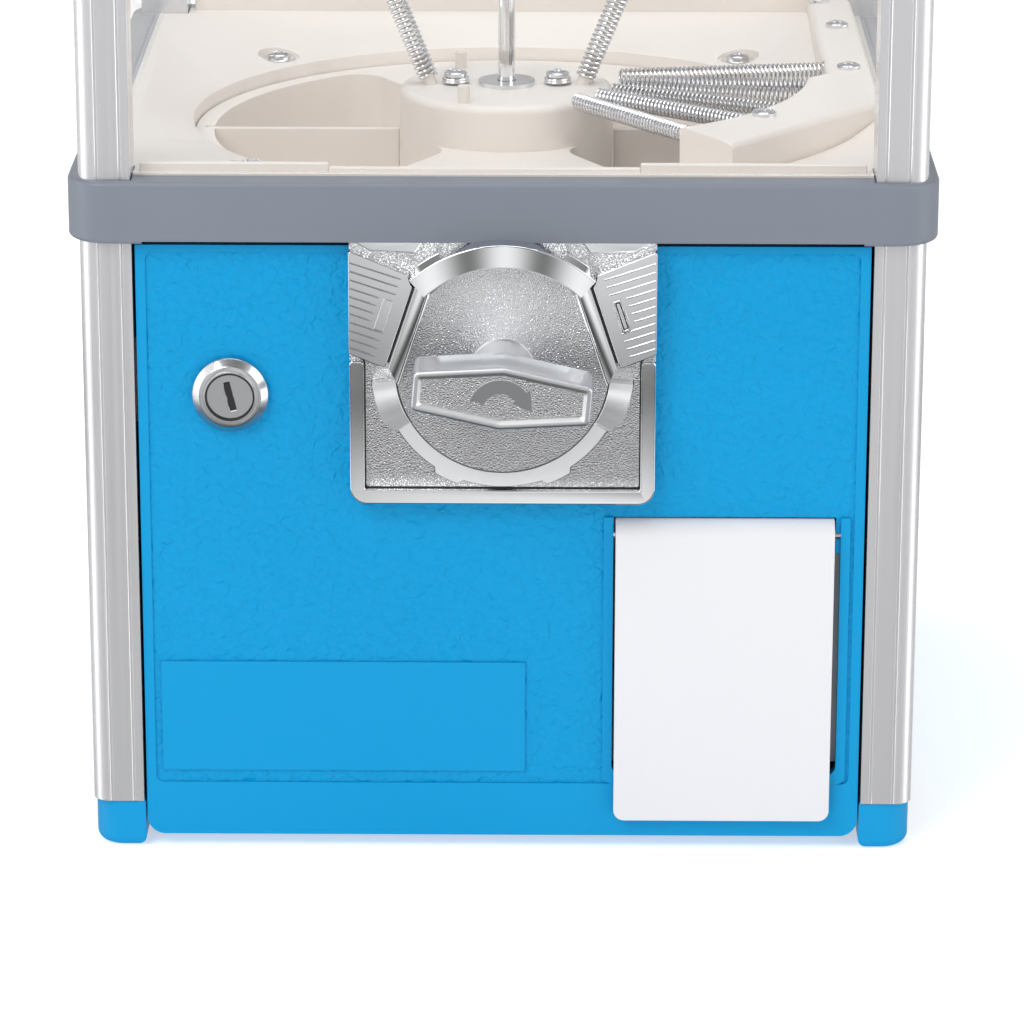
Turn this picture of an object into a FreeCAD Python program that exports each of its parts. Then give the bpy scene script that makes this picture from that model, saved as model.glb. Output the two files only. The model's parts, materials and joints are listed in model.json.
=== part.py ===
import FreeCAD, Part
import math
import os

V = FreeCAD.Vector

# Coin-operated gumball machine, in millimetres.
# +Z is up, +X is to the right seen from the front and +Y points to the back.
# The origin lies on the floor, on the centre line of the tie rod.

# Cabinet sizes
cabinet_width = 235.0
overall_height = 640.0
frame_corner_radius = 12.0
frame_edge_radius = 1.2
post_inset = 3.2
post_size = 14.3
post_corner_radius = 8.0
post_gap = 0.3
post_line_width = 0.7
post_line_depth = 0.5
post_line_first = 5.9
post_line_second = 11.0
post_bore_radius = 2.6
post_bore_inset = 6.3
foot_height = 13.7
foot_offset = 0.4
foot_edge_radius = 3.0
foot_spigot_length = 10.0
foot_spigot_gap = 0.1
sheet_thickness = 2.5
groove_depth = 4.7
groove_clearance = 0.15
groove_end_gap = 0.3
sheet_top_gap = 0.2
window_inset = 4.8
base_bottom = 10.9
base_thickness = 3.0
base_lip = 2.5
base_front_gap = 0.5

# Belt frame and bowl sizes
belt_bottom = 176.0
belt_height = 17.0
belt_wall = 2.9
belt_flange = 6.0
belt_rebate = 3.0
belt_inner_wall = 2.2
belt_relief = 0.8
belt_relief_margin = 3.0
belt_ledge = 8.9
bowl_gap = 0.3
bowl_rim_width = 4.1
bowl_rim_drop = 0.5
bowl_rim_corner_radius = 6.0
bowl_wall = 2.5
bowl_slab_gap = 0.2
funnel_corner_radius = 40.0
well_margin = 13.5
well_drop = 9.0
well_depth = 24.0
gusset_edge = 3.8
gusset_thickness = 3.0
bowl_screw_margin = 8.0
bowl_screw_seat = 0.6
bowl_boss_radius = 4.0
bowl_boss_rise = 2.0
bowl_recess_radius = 6.4
outlet_angle = -30.0
outlet_radius = 20.0

# Gumball wheel sizes
wheel_gap = 0.6
wheel_lift = 0.3
wheel_depth = 19.7
wheel_rim = 5.4
hub_radius = 31.0
hub_rise = 13.0
hub_edge_radius = 2.5
pocket_span = 120.0
pocket_corner_radius = 9.0
partition_thickness = 2.0
partition_slot_depth = 2.8
partition_slot_drop = 12.0
partition_slot_start = 5.0
partition_tab = 5.0
partition_foot_gap = 0.4
partition_top_gap = 0.2
partition_gap = 0.2
spigot_radius = 14.0
hub_peg_radius = 1.7
hub_peg_height = 5.0
hub_peg_places = ((-13.6, 20.0), (-12.0, -24.5))
washer_radius = 8.25
washer_thickness = 1.2

# Tie rod sizes
rod_radius = 2.5
rod_gap = 0.3
rod_bottom = 4.0
rod_top_drop = 12.0
nut_radius = 5.0
nut_height = 4.0

# Spring sizes
brush_angles = (-53.0, -38.0, -25.0, -14.0, -4.0, 9.0)
brush_lift = 1.0
brush_start_gap = 2.0
brush_coil_radius = 2.5
brush_wire_radius = 0.33
brush_curls = 8
brush_socket_depth = 2.5
agitator_foot = 22.0
agitator_lean = 22.0
agitator_coil_radius = 3.0
agitator_wire_radius = 0.4
agitator_length = 95.0
agitator_curls = 20
spring_gap = 0.3
agitator_peg_height = 9.0
agitator_screw_at = 14.8

# Spring housing sizes
housing_overhang = 4.0
housing_start_angle = -60.0
housing_end_angle = -6.0
housing_wall_inset = 1.6
housing_side_overlap = 1.5
housing_back_gap = 0.5
housing_cover = 3.5
housing_edge_radius = 2.0
housing_turn_length = 6.0
housing_front_inset = 11.5
housing_front_side = 42.5
housing_shoulder_side = 64.5
housing_socket_reach = 12.0
housing_screw_angle = -39.0
housing_screw_inset = 1.9
housing_screw_rows = (2.0, 59.7)
housing_post_screw_x = 4.3
housing_post_screw_y = 3.0

# Small screw sizes
screw_head_radius = 3.4
screw_head_height = 2.0
screw_head_taper = 0.72
screw_shank_radius = 1.5
screw_shank_length = 9.0
screw_gap = 0.05
screw_end_room = 0.5

# Front panel sizes
panel_gap = 0.8
panel_bottom = 3.8
panel_top_gap = 2.0
panel_thickness = 3.0
panel_recess = 0.8
panel_return = 8.0
panel_return_wall = 2.0
panel_corner_radius = 5.0
field_margin = 2.7
field_bottom = 19.3
field_top_margin = 2.0
field_depth = 0.5
field_corner_radius = 2.0
pad_margin = 4.7
pad_length = 100.8
pad_bottom = 23.0
pad_height = 32.0
pad_rise = 0.6
mouth_margin = 6.4
mouth_width = 62.4
mouth_bottom = 22.0
mouth_corner_radius = 3.0
mouth_frame_width = 2.6
mouth_frame_rise = 0.8

# Flap sizes
flap_left_gap = 0.6
flap_right_gap = 1.8
flap_bottom = 9.6
flap_thickness = 2.5
flap_hinge_height = 92.0
flap_roll_radius = 5.0
flap_cheek = 3.0
flap_corner_radius = 3.0
flap_gap = 1.0
flap_top_gap = 0.4
flap_pin_radius = 1.2
flap_pin_gap = 0.08
flap_pin_seat = 2.0
flap_lug_gap = 0.4
flap_lug_recess = 0.6
flap_lug_back = 1.2

# Panel lock sizes
lock_inset = 25.2
lock_drop = 41.7
lock_bezel_radius = 10.5
lock_bezel_height = 3.4
lock_bezel_land = 8.3
lock_lip_width = 0.5
lock_lip_height = 0.3
lock_hole_gap = 0.1
lock_barrel_radius = 8.0
lock_plug_radius = 6.6
lock_running_gap = 0.05
lock_nut_radius = 11.5
lock_nut_flat = 9.8
lock_nut_thickness = 3.5
cam_length = 30.0
cam_half_width = 6.0
cam_end_radius = 5.4
cam_thickness = 2.0
catch_gap = 0.5
catch_thickness = 2.5
catch_half_height = 12.0
catch_side_gap = 8.0
catch_post_overlap = 9.0
key_slot_width = 1.6
key_slot_length = 8.0
key_slot_depth = 2.5
key_slot_tilt = -13.0
plug_recess = 0.4

# Coin mechanism sizes
plate_half_width = 41.5
plate_bottom_drop = 37.7
plate_top_rise = 34.6
plate_thickness = 2.5
plate_corner_radius = 4.5
plate_top_radius = 1.5
border_width = 4.0
border_rise = 2.6
border_top_rise = 2.8
disc_opening_radius = 29.0
disc_gap = 0.3
disc_edge = 0.3
ring_outer_radius = 33.5
ring_rise = 4.0
ring_start_angle = 8.0
ring_lug_radius = 36.4
ring_lug_end_angle = 25.0
ring_lug_rise = 2.2
ring_ramp_end_angle = 33.0
ring_foot_radius = 35.3
ring_foot_angles = (20.0, 33.0)
hood_inner_radius = 30.5
hood_outer_radius = 36.6
hood_lug_radius = 38.5
hood_rise = 9.0
hood_half_angle = 43.0
hood_lug_angles = (28.5, 38.0)
hood_lug_step = 0.8
bar_rise = 6.5
bar_top = (24.3, 23.5)
bar_bottom = (31.7, 1.1)
bar_width = 4.4
bar_overrun = 5.0
bar_shift = 1.5
coin_slit_width = 2.4
coin_slit_length = 25.0
wing_rise = 4.2
wing_top_rise = 32.4
wing_low_rise = 5.3
wing_rib_count = 8
wing_rib_width = 0.7
wing_rib_rise = 0.45
wing_rib_length = 14.0
wing_rib_inset = 1.0
wing_rib_shift = 2.0
wing_window_length = 9.0
wing_window_width = 2.2
wing_window_depth = 2.0
wing_window_inset = 4.0
wing_window_shift = 3.0
wing_blank_rise = 0.5
drum_outer_radius = 33.0
drum_wall = 2.0
drum_depth = 16.5
mech_flange_half = 37.5
mech_flange_thickness = 2.5
mech_flange_bottom_drop = 33.0
mech_flange_top_rise = 33.5
mech_notch_gap = 0.3
mech_screw_half = 34.0
mech_screw_drop = 29.5
mech_screw_head_radius = 2.8
mech_screw_end_gap = 1.0
screw_tip_room = 0.2
coin_exit_half_width = 13.0
coin_exit_height = 6.5
sleeve_radius = 8.0
sleeve_gap = 2.5

# Handle and shaft sizes
handle_reach = 31.5
handle_depth = 12.5
handle_width = 48.5
handle_mid_height = 14.5
handle_end_height = 8.4
handle_rim = 1.5
handle_recess = 1.3
handle_boss_radius = 8.0
handle_scoop_radius = 8.0
handle_scoop_depth = 2.2
handle_scoop_half = 16.5
handle_scoop_run = 5.0
handle_scoop_back = 1.5
handle_edge_radius = 1.2
handle_tilt = 5.0
disc_proud = 5.0
disc_thickness = 4.5
shaft_radius = 5.0
shaft_tip_radius = 4.0
shaft_proud = 13.5
shaft_tail = 3.0
shaft_gap = 0.02
shaft_end_gap = 0.3
shaft_step_gap = 0.2
running_gap = 0.05
ratchet_inset = 1.5
ratchet_thickness = 4.0
ratchet_tip_radius = 20.0
ratchet_root_radius = 16.5
ratchet_teeth = 12
pawl_pivot = (-23.0, -12.0)
pawl_eye_radius = 3.2
pawl_pin_radius = 1.3
pawl_gap = 0.6
pawl_nose_back = 1.8
pawl_nose_rise = 1.5
pawl_width = 4.0
pawl_pin_proud = 0.5
clip_radius = 6.3
clip_thickness = 1.0

# Gear sizes
pinion_teeth = 12
crown_teeth = 24
gear_module = 2.0
gear_tip_height = 1.2
gear_root_depth = 2.3
gear_face_inner = 20.5
gear_face_outer = 27.5
pinion_tooth_base = 3.0
pinion_tooth_tip = 1.1
crown_tooth_base_angle = 6.4
crown_tooth_tip_angle = 2.4
tooth_root_overlap = 0.2
pinion_root_overlap = 0.6
crown_disc_radius = 28.2
crown_floor_gap = 0.3
crown_disc_thickness = 3.5
crown_pitch_drop = 1.5
crown_screw_circle = 9.0

# Chute and tray sizes
chute_wall = 2.0
chute_side_gap = 0.5
chute_gear_gap = 0.3
chute_back_margin = 5.0
chute_front_margin = 4.0
chute_slope_top = 112.0
chute_lip_rise = 2.5
chute_roof_rise = 3.6
chute_end_gap = 1.5
tray_side_gap = 7.2
tray_chute_gap = 4.5
tray_front_gap = 4.5
tray_length = 118.0
tray_height = 46.0
tray_rod_gap = 1.5
tray_rod_wall = 2.0
tray_wall = 2.0
tray_corner_radius = 8.0

# Top frame and lid sizes
top_frame_height = 17.0
top_flange = 6.0
top_screw_sink = 2.6
top_screw_head_radius = 4.0
top_screw_head_height = 2.4
top_screw_length = 18.0
fill_margin = 5.0
fill_corner_radius = 10.0
lid_height = 25.0
lid_edge_inset = 2.0
lid_skirt = 6.0
lid_slope_run = 33.0
lid_top_radius = 10.0
lid_wall = 2.5
lid_lip_gap = 0.5
lid_lip_height = 8.0
lid_lock_bezel_radius = 14.0
lid_lock_bezel_height = 6.0
lid_lock_bezel_land = 11.2
lid_lock_radius = 9.5
lid_lock_length = 20.0
lid_plug_radius = 7.0
lid_plug_neck_radius = 5.6
lid_plug_head = 8.0
lid_hole_gap = 0.1

# How near an edge lies to the plane that picks it
edge_pick = 0.05

# Places that follow from the sizes
half_width = cabinet_width / 2
post_face = half_width - post_inset
post_inner = post_face - post_size
post_bore_at = post_face - post_bore_inset
belt_top = belt_bottom + belt_height
belt_skirt_inner = post_face + post_gap
belt_slab_bottom = belt_top - belt_flange
belt_relief_half = post_inner - belt_relief_margin
bowl_half = half_width - belt_ledge
bowl_rim_top = belt_top - bowl_rim_drop
bowl_rim_bottom = belt_top - belt_rebate
bowl_slope_half = bowl_half - bowl_rim_width
belt_slab_inner = bowl_slope_half + bowl_slab_gap
well_radius = bowl_slope_half - well_margin
well_top = belt_top - well_drop
floor_top = well_top - well_depth
bowl_screw_at = (well_radius + bowl_screw_margin) * math.sqrt(0.5)
gusset_reach = well_radius + bowl_screw_margin - gusset_edge
sheet_outer = post_face - window_inset
sheet_inner = sheet_outer - sheet_thickness
sheet_reach = post_inner + groove_depth - groove_end_gap
floor_bottom = floor_top - bowl_wall
lid_top = overall_height - lid_lock_bezel_height
rod_top = overall_height - rod_top_drop
fill_half = post_inner - fill_margin
lid_top_half = fill_half - lid_slope_run
top_frame_top = lid_top - lid_height
top_frame_bottom = top_frame_top - top_frame_height
post_top = top_frame_top - top_flange
panel_front = -(post_face - panel_recess)
panel_back = panel_front + panel_thickness
panel_half = post_inner - panel_gap
panel_top = belt_bottom - panel_top_gap
plate_front = panel_front - plate_thickness
base_top = base_bottom + base_thickness
base_reach = sheet_outer + base_lip
base_front = panel_back + panel_return + base_front_gap
wheel_bottom = floor_top + wheel_lift
wheel_top = wheel_bottom + wheel_depth
wheel_radius = well_radius - wheel_gap
hub_top = wheel_top + hub_rise
pocket_outer_radius = wheel_radius - wheel_rim
outlet_distance = (hub_radius + pocket_outer_radius) / 2
outlet_x = outlet_distance * math.cos(math.radians(outlet_angle))
outlet_y = outlet_distance * math.sin(math.radians(outlet_angle))
brush_height = hub_top + brush_lift
brush_start_radius = hub_radius + brush_start_gap
housing_radius = well_radius - housing_overhang
housing_inner_x = well_radius + housing_wall_inset
housing_outer_x = bowl_slope_half + housing_side_overlap
housing_back = bowl_slope_half - housing_back_gap
housing_top = brush_height + housing_cover
crown_top = floor_bottom - crown_floor_gap
crown_face = crown_top - crown_disc_thickness
pinion_radius = gear_module * pinion_teeth / 2
mech_height = crown_face - crown_pitch_drop - pinion_radius
drum_back = panel_front + drum_depth
sleeve_back = -gear_face_outer - sleeve_gap
disc_front = panel_front - disc_proud
disc_back = disc_front + disc_thickness
disc_radius = disc_opening_radius - disc_gap
shaft_front = panel_front - shaft_proud
shaft_end = -gear_face_inner + shaft_tail
handle_front = panel_front - handle_reach
ratchet_front = panel_front + ratchet_inset
pad_left = -panel_half + pad_margin
mouth_right = panel_half - mouth_margin
mouth_left = mouth_right - mouth_width
mouth_top = flap_hinge_height + flap_roll_radius + flap_top_gap
flap_left = mouth_left + flap_left_gap
flap_right = mouth_right - flap_right_gap
flap_front = panel_front - flap_gap - flap_thickness
flap_hinge_y = flap_front + flap_roll_radius
lock_x = -panel_half + lock_inset
lock_z = panel_top - lock_drop
chute_left = flap_left - chute_side_gap - chute_wall
chute_right = flap_right + chute_side_gap + chute_wall
chute_mouth_back = outlet_y + outlet_radius + chute_back_margin
chute_mouth_front = outlet_y - outlet_radius - chute_front_margin
chute_lip = mouth_bottom + chute_lip_rise
chute_roof = mouth_top + chute_roof_rise
tray_left = -panel_half + tray_side_gap
tray_right = chute_left - tray_chute_gap
tray_front = panel_back + panel_return + tray_front_gap
tray_back = tray_front + tray_length


def export(name, shape):
    """Write one node to its own file."""
    shape.exportStep("parts/" + name + ".step")


def block(x0, x1, y0, y1, z0, z1):
    return Part.makeBox(x1 - x0, y1 - y0, z1 - z0, V(x0, y0, z0))


def rod_along_x(radius, x0, x1, y, z):
    return Part.makeCylinder(radius, x1 - x0, V(x0, y, z), V(1, 0, 0))


def rod_along_y(radius, y0, y1, x, z):
    return Part.makeCylinder(radius, y1 - y0, V(x, y0, z), V(0, 1, 0))


def rod_along_z(radius, z0, z1, x=0.0, y=0.0):
    return Part.makeCylinder(radius, z1 - z0, V(x, y, z0), V(0, 0, 1))


def cone_along_y(radius0, radius1, y0, y1, x, z):
    return Part.makeCone(radius0, radius1, y1 - y0, V(x, y0, z), V(0, 1, 0))


def outline(points):
    return Part.Face(Part.makePolygon(points + [points[0]]))


def prism_x(points, x0, x1):
    """Extrude an outline of (y, z) points along X."""
    return outline([V(x0, y, z) for y, z in points]).extrude(V(x1 - x0, 0, 0))


def prism_y(points, y0, y1):
    """Extrude an outline of (x, z) points along Y."""
    return outline([V(x, y0, z) for x, z in points]).extrude(V(0, y1 - y0, 0))


def prism_z(points, z0, z1):
    """Extrude an outline of (x, y) points along Z."""
    return outline([V(x, y, z0) for x, y in points]).extrude(V(0, 0, z1 - z0))


def joined(shapes):
    """Fuse a list of touching solids into one clean solid."""
    whole = shapes[0].multiFuse(shapes[1:]) if len(shapes) > 1 else shapes[0]
    return whole.removeSplitter()


def turned(shape, degrees, axis=V(0, 0, 1), centre=V(0, 0, 0)):
    copy = shape.copy()
    copy.rotate(centre, axis, degrees)
    return copy


def edges_along(shape, axis, test):
    """The straight edges along one axis whose middle passes a test."""
    found = []
    for edge in shape.Edges:
        if not isinstance(edge.Curve, Part.Line):
            continue
        direction = edge.Curve.Direction
        middle = edge.valueAt((edge.FirstParameter + edge.LastParameter) / 2)
        if abs(abs(direction.dot(axis)) - 1) < 1e-6 and test(middle):
            found.append(edge)
    return found


def rounded_square(half, radius, z):
    """A square wire with round corners, as eight edges from the +X side on."""
    inner = half - radius
    edges = []
    for quarter in range(4):
        spin = FreeCAD.Rotation(V(0, 0, 1), 90 * quarter)
        diagonal = inner + radius * math.sqrt(0.5)
        start = spin.multVec(V(half, -inner, z))
        end = spin.multVec(V(half, inner, z))
        middle = spin.multVec(V(diagonal, diagonal, z))
        after = spin.multVec(V(inner, half, z))
        edges.append(Part.LineSegment(start, end).toShape())
        edges.append(Part.Arc(end, middle, after).toShape())
    return Part.Wire(edges)


def square_slab(half, radius, z0, z1):
    face = Part.Face(rounded_square(half, radius, z0))
    return face.extrude(V(0, 0, z1 - z0))


def end_edges(slab, bottom, top):
    """The edges round the two flat ends of a slab."""
    return [edge for edge in slab.Edges
            if edge.BoundBox.ZMin > top - edge_pick or edge.BoundBox.ZMax < bottom + edge_pick]


def square_loft(half0, radius0, z0, half1, radius1, z1):
    wires = [rounded_square(half0, radius0, z0), rounded_square(half1, radius1, z1)]
    return Part.makeLoft(wires, True, True)


def at_corners(shape):
    """The shape at the back right corner, copied to all four corners."""
    return [turned(shape, 90 * quarter) for quarter in range(4)]


def post_clearance(z0, z1, gap):
    """Four square holes that let the posts through."""
    low = post_inner - gap
    high = post_face + gap
    hole = block(low, high, low, high, z0, z1)
    corner = edges_along(hole, V(0, 0, 1), lambda p: p.x > high - edge_pick and p.y > high - edge_pick)
    return at_corners(hole.makeFillet(post_corner_radius + gap, corner))


def pan_screw(place, direction, head_radius, head_height, shank_radius, shank_length):
    """A screw whose head sits on a face at place and whose shank goes along direction."""
    head = Part.makeCone(head_radius, head_radius * screw_head_taper, head_height, place, -direction)
    shank = Part.makeCylinder(shank_radius, shank_length, place, direction)
    return joined([head, shank])


def small_screw(place, direction):
    return pan_screw(place, direction, screw_head_radius, screw_head_height,
                     screw_shank_radius, screw_shank_length)


def screw_hole(place, direction):
    length = screw_shank_length + screw_end_room
    return Part.makeCylinder(screw_shank_radius + screw_gap, length, place, direction)


def ring_sector(radius0, radius1, angle0, angle1, y0, y1):
    """A flat ring sector about the mechanism axis, angles from +X towards +Z."""
    def at(radius, angle):
        turn = math.radians(angle)
        return V(radius * math.cos(turn), y0, mech_height + radius * math.sin(turn))
    middle = (angle0 + angle1) / 2
    outer = Part.Arc(at(radius1, angle0), at(radius1, middle), at(radius1, angle1)).toShape()
    inner = Part.Arc(at(radius0, angle1), at(radius0, middle), at(radius0, angle0)).toShape()
    close = Part.LineSegment(at(radius1, angle1), at(radius0, angle1)).toShape()
    start = Part.LineSegment(at(radius0, angle0), at(radius1, angle0)).toShape()
    face = Part.Face(Part.Wire([start, outer, close, inner]))
    return face.extrude(V(0, y1 - y0, 0))


# Springs

def arc_middle(start, tangent, end):
    """The middle of the arc that leaves start along tangent and reaches end."""
    chord = end - start
    along = V(chord).normalize()
    side = tangent - along * tangent.dot(along)
    angle = tangent.getAngle(chord)
    return (start + end) * 0.5 + V(side).normalize() * (chord.Length / 2 * math.tan(angle / 2))


def biarc(start, tangent0, end, tangent1):
    """Two tangent arcs from start to end that keep both end directions."""
    span = end - start
    both = tangent0 + tangent1
    spread = 2 * (1 - tangent0.dot(tangent1))
    dot = span.dot(both)
    reach = (-dot + math.sqrt(dot * dot + spread * span.dot(span))) / spread
    joint = (start + end + (tangent0 - tangent1) * reach) * 0.5
    first = Part.Arc(start, arc_middle(start, tangent0, joint), joint)
    second_middle = arc_middle(end, tangent1 * -1, joint)
    second = Part.Arc(joint, second_middle, end)
    return [first.toShape(), second.toShape()]


def coil_spring(name, foot, axis, length, coil_radius, wire_radius, curls):
    """One unbroken wire wound about axis from foot, with straight ends."""
    axis = V(axis).normalize()
    turn_radius = coil_radius - wire_radius
    across = axis.cross(V(0, 1, 0)).normalize()
    other = axis.cross(across)
    wound = length - 2 * wire_radius
    pitch = wound / curls

    def point(turns):
        angle = 2 * math.pi * turns
        around = across * math.cos(angle) + other * math.sin(angle)
        return foot + axis * (wire_radius + pitch * turns) + around * turn_radius

    def tangent(turns):
        angle = 2 * math.pi * turns
        around = across * -math.sin(angle) + other * math.cos(angle)
        return (around * (2 * math.pi * turn_radius) + axis * pitch).normalize()

    steps = [half / 2 for half in range(2 * curls + 1)]
    edges = [Part.LineSegment(point(0) - tangent(0) * 2 * wire_radius, point(0)).toShape()]
    for turns in steps[:-1]:
        edges += biarc(point(turns), tangent(turns), point(turns + 0.5), tangent(turns + 0.5))
    edges.append(Part.LineSegment(point(curls), point(curls) + tangent(curls) * 2 * wire_radius).toShape())
    path = Part.Wire(edges)
    start = path.Edges[0].Vertexes[0].Point
    profile = Part.Wire([Part.makeCircle(wire_radius, start, tangent(0))])
    spring = path.makePipeShell([profile], True, False)
    samples = [point(step / 24) for step in range(24 * curls + 1)]
    nearest = min((samples[i] - samples[j]).Length
                  for i in range(0, 25) for j in range(i + 12, min(i + 60, len(samples))))
    gap = nearest - 2 * wire_radius
    print(name, "least gap between curls", round(gap, 2), "mm")
    return spring


# Posts, feet and base

def make_post():
    """An aluminium corner post with a round outer edge and two sheet grooves."""
    post = block(post_inner, post_face, post_inner, post_face, foot_height, post_top)
    outer = post_face - edge_pick
    corner = edges_along(post, V(0, 0, 1), lambda p: p.x > outer and p.y > outer)
    post = post.makeFillet(post_corner_radius, corner)
    low = sheet_inner - groove_clearance
    high = sheet_outer + groove_clearance
    end = post_inner + groove_depth
    cuts = [block(low, high, post_inner - 1, end, 0, post_top + 1),
            block(post_inner - 1, end, low, high, 0, post_top + 1),
            rod_along_z(post_bore_radius, 0, post_top + 1, post_bore_at, post_bore_at)]
    for line in (post_line_first, post_line_second):
        near = post_face - line - post_line_width / 2
        far = near + post_line_width
        cuts.append(block(near, far, post_face - post_line_depth, post_face + 1, 0, post_top + 1))
        cuts.append(block(post_face - post_line_depth, post_face + 1, near, far, 0, post_top + 1))
    return post.cut(cuts).removeSplitter()


def make_foot():
    """A rounded plastic cap under a post, with a spigot in the post's bore."""
    low = post_inner - foot_offset
    high = post_face - foot_offset
    cap = block(low, high, low, high, 0, foot_height)
    upright = edges_along(cap, V(0, 0, 1), lambda p: p.x > high - edge_pick and p.y > high - edge_pick)
    cap = cap.makeFillet(post_corner_radius, upright)
    lower = [edge for edge in cap.Edges if edge.BoundBox.ZMax < edge_pick]
    cap = cap.makeFillet(foot_edge_radius, lower)
    spigot = rod_along_z(post_bore_radius - foot_spigot_gap, foot_height, foot_height + foot_spigot_length,
                         post_bore_at, post_bore_at)
    return joined([cap, spigot])


def make_base_plate():
    """The floor of the cabinet, notched for the posts, with a hole for the tie rod."""
    plate = block(-base_reach, base_reach, base_front, base_reach, base_bottom, base_top)
    notch = post_inner - foot_offset - post_gap
    corner = block(notch, cabinet_width, notch, cabinet_width, 0, base_top + 1)
    cuts = at_corners(corner)
    cuts.append(rod_along_z(rod_radius + rod_gap, 0, base_top + 1))
    return plate.cut(cuts)


def make_sheet(z0, z1):
    """A flat sheet at the back, sized to stand in the grooves of two posts."""
    return block(-sheet_reach, sheet_reach, sheet_inner, sheet_outer, z0, z1)


corner_names = ("rear_right", "rear_left", "front_left", "front_right")
side_names = ("rear", "left", "front", "right")


def build_posts():
    for name, post, foot in zip(corner_names, at_corners(make_post()), at_corners(make_foot())):
        export(name + "_post", post)
        export(name + "_foot", foot)
    export("base_plate", make_base_plate())


def build_sheets():
    window = make_sheet(belt_top, post_top - sheet_top_gap)
    panel = make_sheet(base_top, belt_slab_bottom - sheet_top_gap)
    for name, sheet, lower in zip(side_names, at_corners(window), at_corners(panel)):
        export(name + "_window", sheet)
        if name == "rear":
            export("rear_panel", lower)
        elif name != "front":
            export(name + "_side_panel", lower)


# Belt frame, bowl and spring housing

def make_belt_frame():
    """A square belt round the posts, a channel that is open below, with screw gussets."""
    skirt = square_slab(half_width, frame_corner_radius, belt_bottom, belt_top)
    skirt = skirt.makeFillet(frame_edge_radius, end_edges(skirt, belt_bottom, belt_top))
    hollow = square_slab(belt_skirt_inner, frame_corner_radius - belt_wall, belt_bottom - 1, belt_slab_bottom)
    rebate_half = bowl_half + bowl_gap
    rebate = block(-rebate_half, rebate_half, -rebate_half, rebate_half, bowl_rim_bottom, belt_top + 1)
    slab = belt_slab_inner
    inner = block(-slab, slab, -slab, slab, belt_bottom - 1, belt_top + 1)
    frame = skirt.cut([hollow, rebate, inner])
    wall_half = slab + belt_inner_wall
    wall = block(-wall_half, wall_half, -wall_half, wall_half, belt_bottom, belt_slab_bottom + 1).cut(inner)
    corner = slab + belt_inner_wall / 2
    cut_off = gusset_reach * math.sqrt(2) - corner
    gusset = prism_z([(cut_off, corner), (corner, corner), (corner, cut_off)],
                     belt_bottom, belt_bottom + gusset_thickness)
    frame = joined([frame, wall] + at_corners(gusset))
    hole = rod_along_z(screw_shank_radius + screw_gap, belt_bottom - 1, belt_top,
                       bowl_screw_at, bowl_screw_at)
    relief = block(-belt_relief_half, belt_relief_half, -half_width - 1, -belt_skirt_inner + belt_wall / 2,
                   belt_bottom - 1, belt_bottom + belt_relief)
    cuts = post_clearance(belt_bottom - 1, belt_top + 1, post_gap) + at_corners(hole) + [relief]
    return frame.cut(cuts).removeSplitter()


def round_wire(radius, z):
    """A circle as eight arcs that match the edges of a rounded square."""
    edges = []
    for eighth in range(8):
        ends = []
        for share in (0.0, 0.5, 1.0):
            angle = math.radians(-22.5 + 45 * (eighth + share))
            ends.append(V(radius * math.cos(angle), radius * math.sin(angle), z))
        edges.append(Part.Arc(*ends).toShape())
    return Part.Wire(edges)


def funnel(half, radius, top, bottom):
    """A square mouth that runs down into a round well."""
    wires = [rounded_square(half, funnel_corner_radius, top), round_wire(radius, bottom)]
    return Part.makeLoft(wires, True, True)


def make_bowl():
    """The moulded bowl: a flat rim, sloped sides, a round well and a floor with an outlet."""
    rim = square_slab(bowl_half, bowl_rim_corner_radius, bowl_rim_bottom, bowl_rim_top)
    outside = funnel(bowl_slope_half, well_radius + bowl_wall, bowl_rim_bottom, well_top - bowl_wall)
    well = rod_along_z(well_radius + bowl_wall, floor_bottom, well_top - bowl_wall)
    place = bowl_screw_at
    boss_bottom = belt_bottom + gusset_thickness
    bosses = at_corners(rod_along_z(bowl_boss_radius, boss_bottom, well_top + bowl_boss_rise, place, place))
    body = joined([rim, outside, well] + bosses)
    inside = funnel(bowl_slope_half, well_radius, bowl_rim_top, well_top)
    hollow = rod_along_z(well_radius, floor_top, well_top + 1)
    outlet = rod_along_z(outlet_radius, floor_bottom - 1, floor_top + 1, outlet_x, outlet_y)
    bearing = rod_along_z(spigot_radius + running_gap, floor_bottom - 1, floor_top + 1)
    recess = at_corners(rod_along_z(bowl_recess_radius, well_top + bowl_screw_seat, belt_top, place, place))
    holes = at_corners(rod_along_z(screw_shank_radius + screw_gap, boss_bottom - 1, belt_top, place, place))
    for x, y in housing_screw_places():
        holes.append(screw_hole(V(x, y, housing_top), V(0, 0, -1)))
    bowl = body.cut([inside, hollow, outlet, bearing] + recess + holes)
    return bowl.cut(post_clearance(floor_bottom, belt_top + 1, post_gap)).removeSplitter()


def housing_screw_places():
    """The housing's screws: one on the arc, two on the straight run and one beside the rear post."""
    on_arc = brush_direction(housing_screw_angle) * (well_radius + housing_screw_inset)
    run_x = (housing_inner_x + housing_outer_x) / 2
    places = [(on_arc.x, on_arc.y)]
    places += [(run_x, row) for row in housing_screw_rows]
    places.append((post_inner - housing_post_screw_x, post_inner - housing_post_screw_y))
    return places


def brush_wall(angle):
    """How far from the axis the springs meet the wall of their housing."""
    if angle < housing_end_angle:
        return housing_radius
    return housing_inner_x / math.cos(math.radians(angle))


def brush_direction(angle):
    turn = math.radians(angle)
    return V(math.cos(turn), math.sin(turn), 0)


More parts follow.
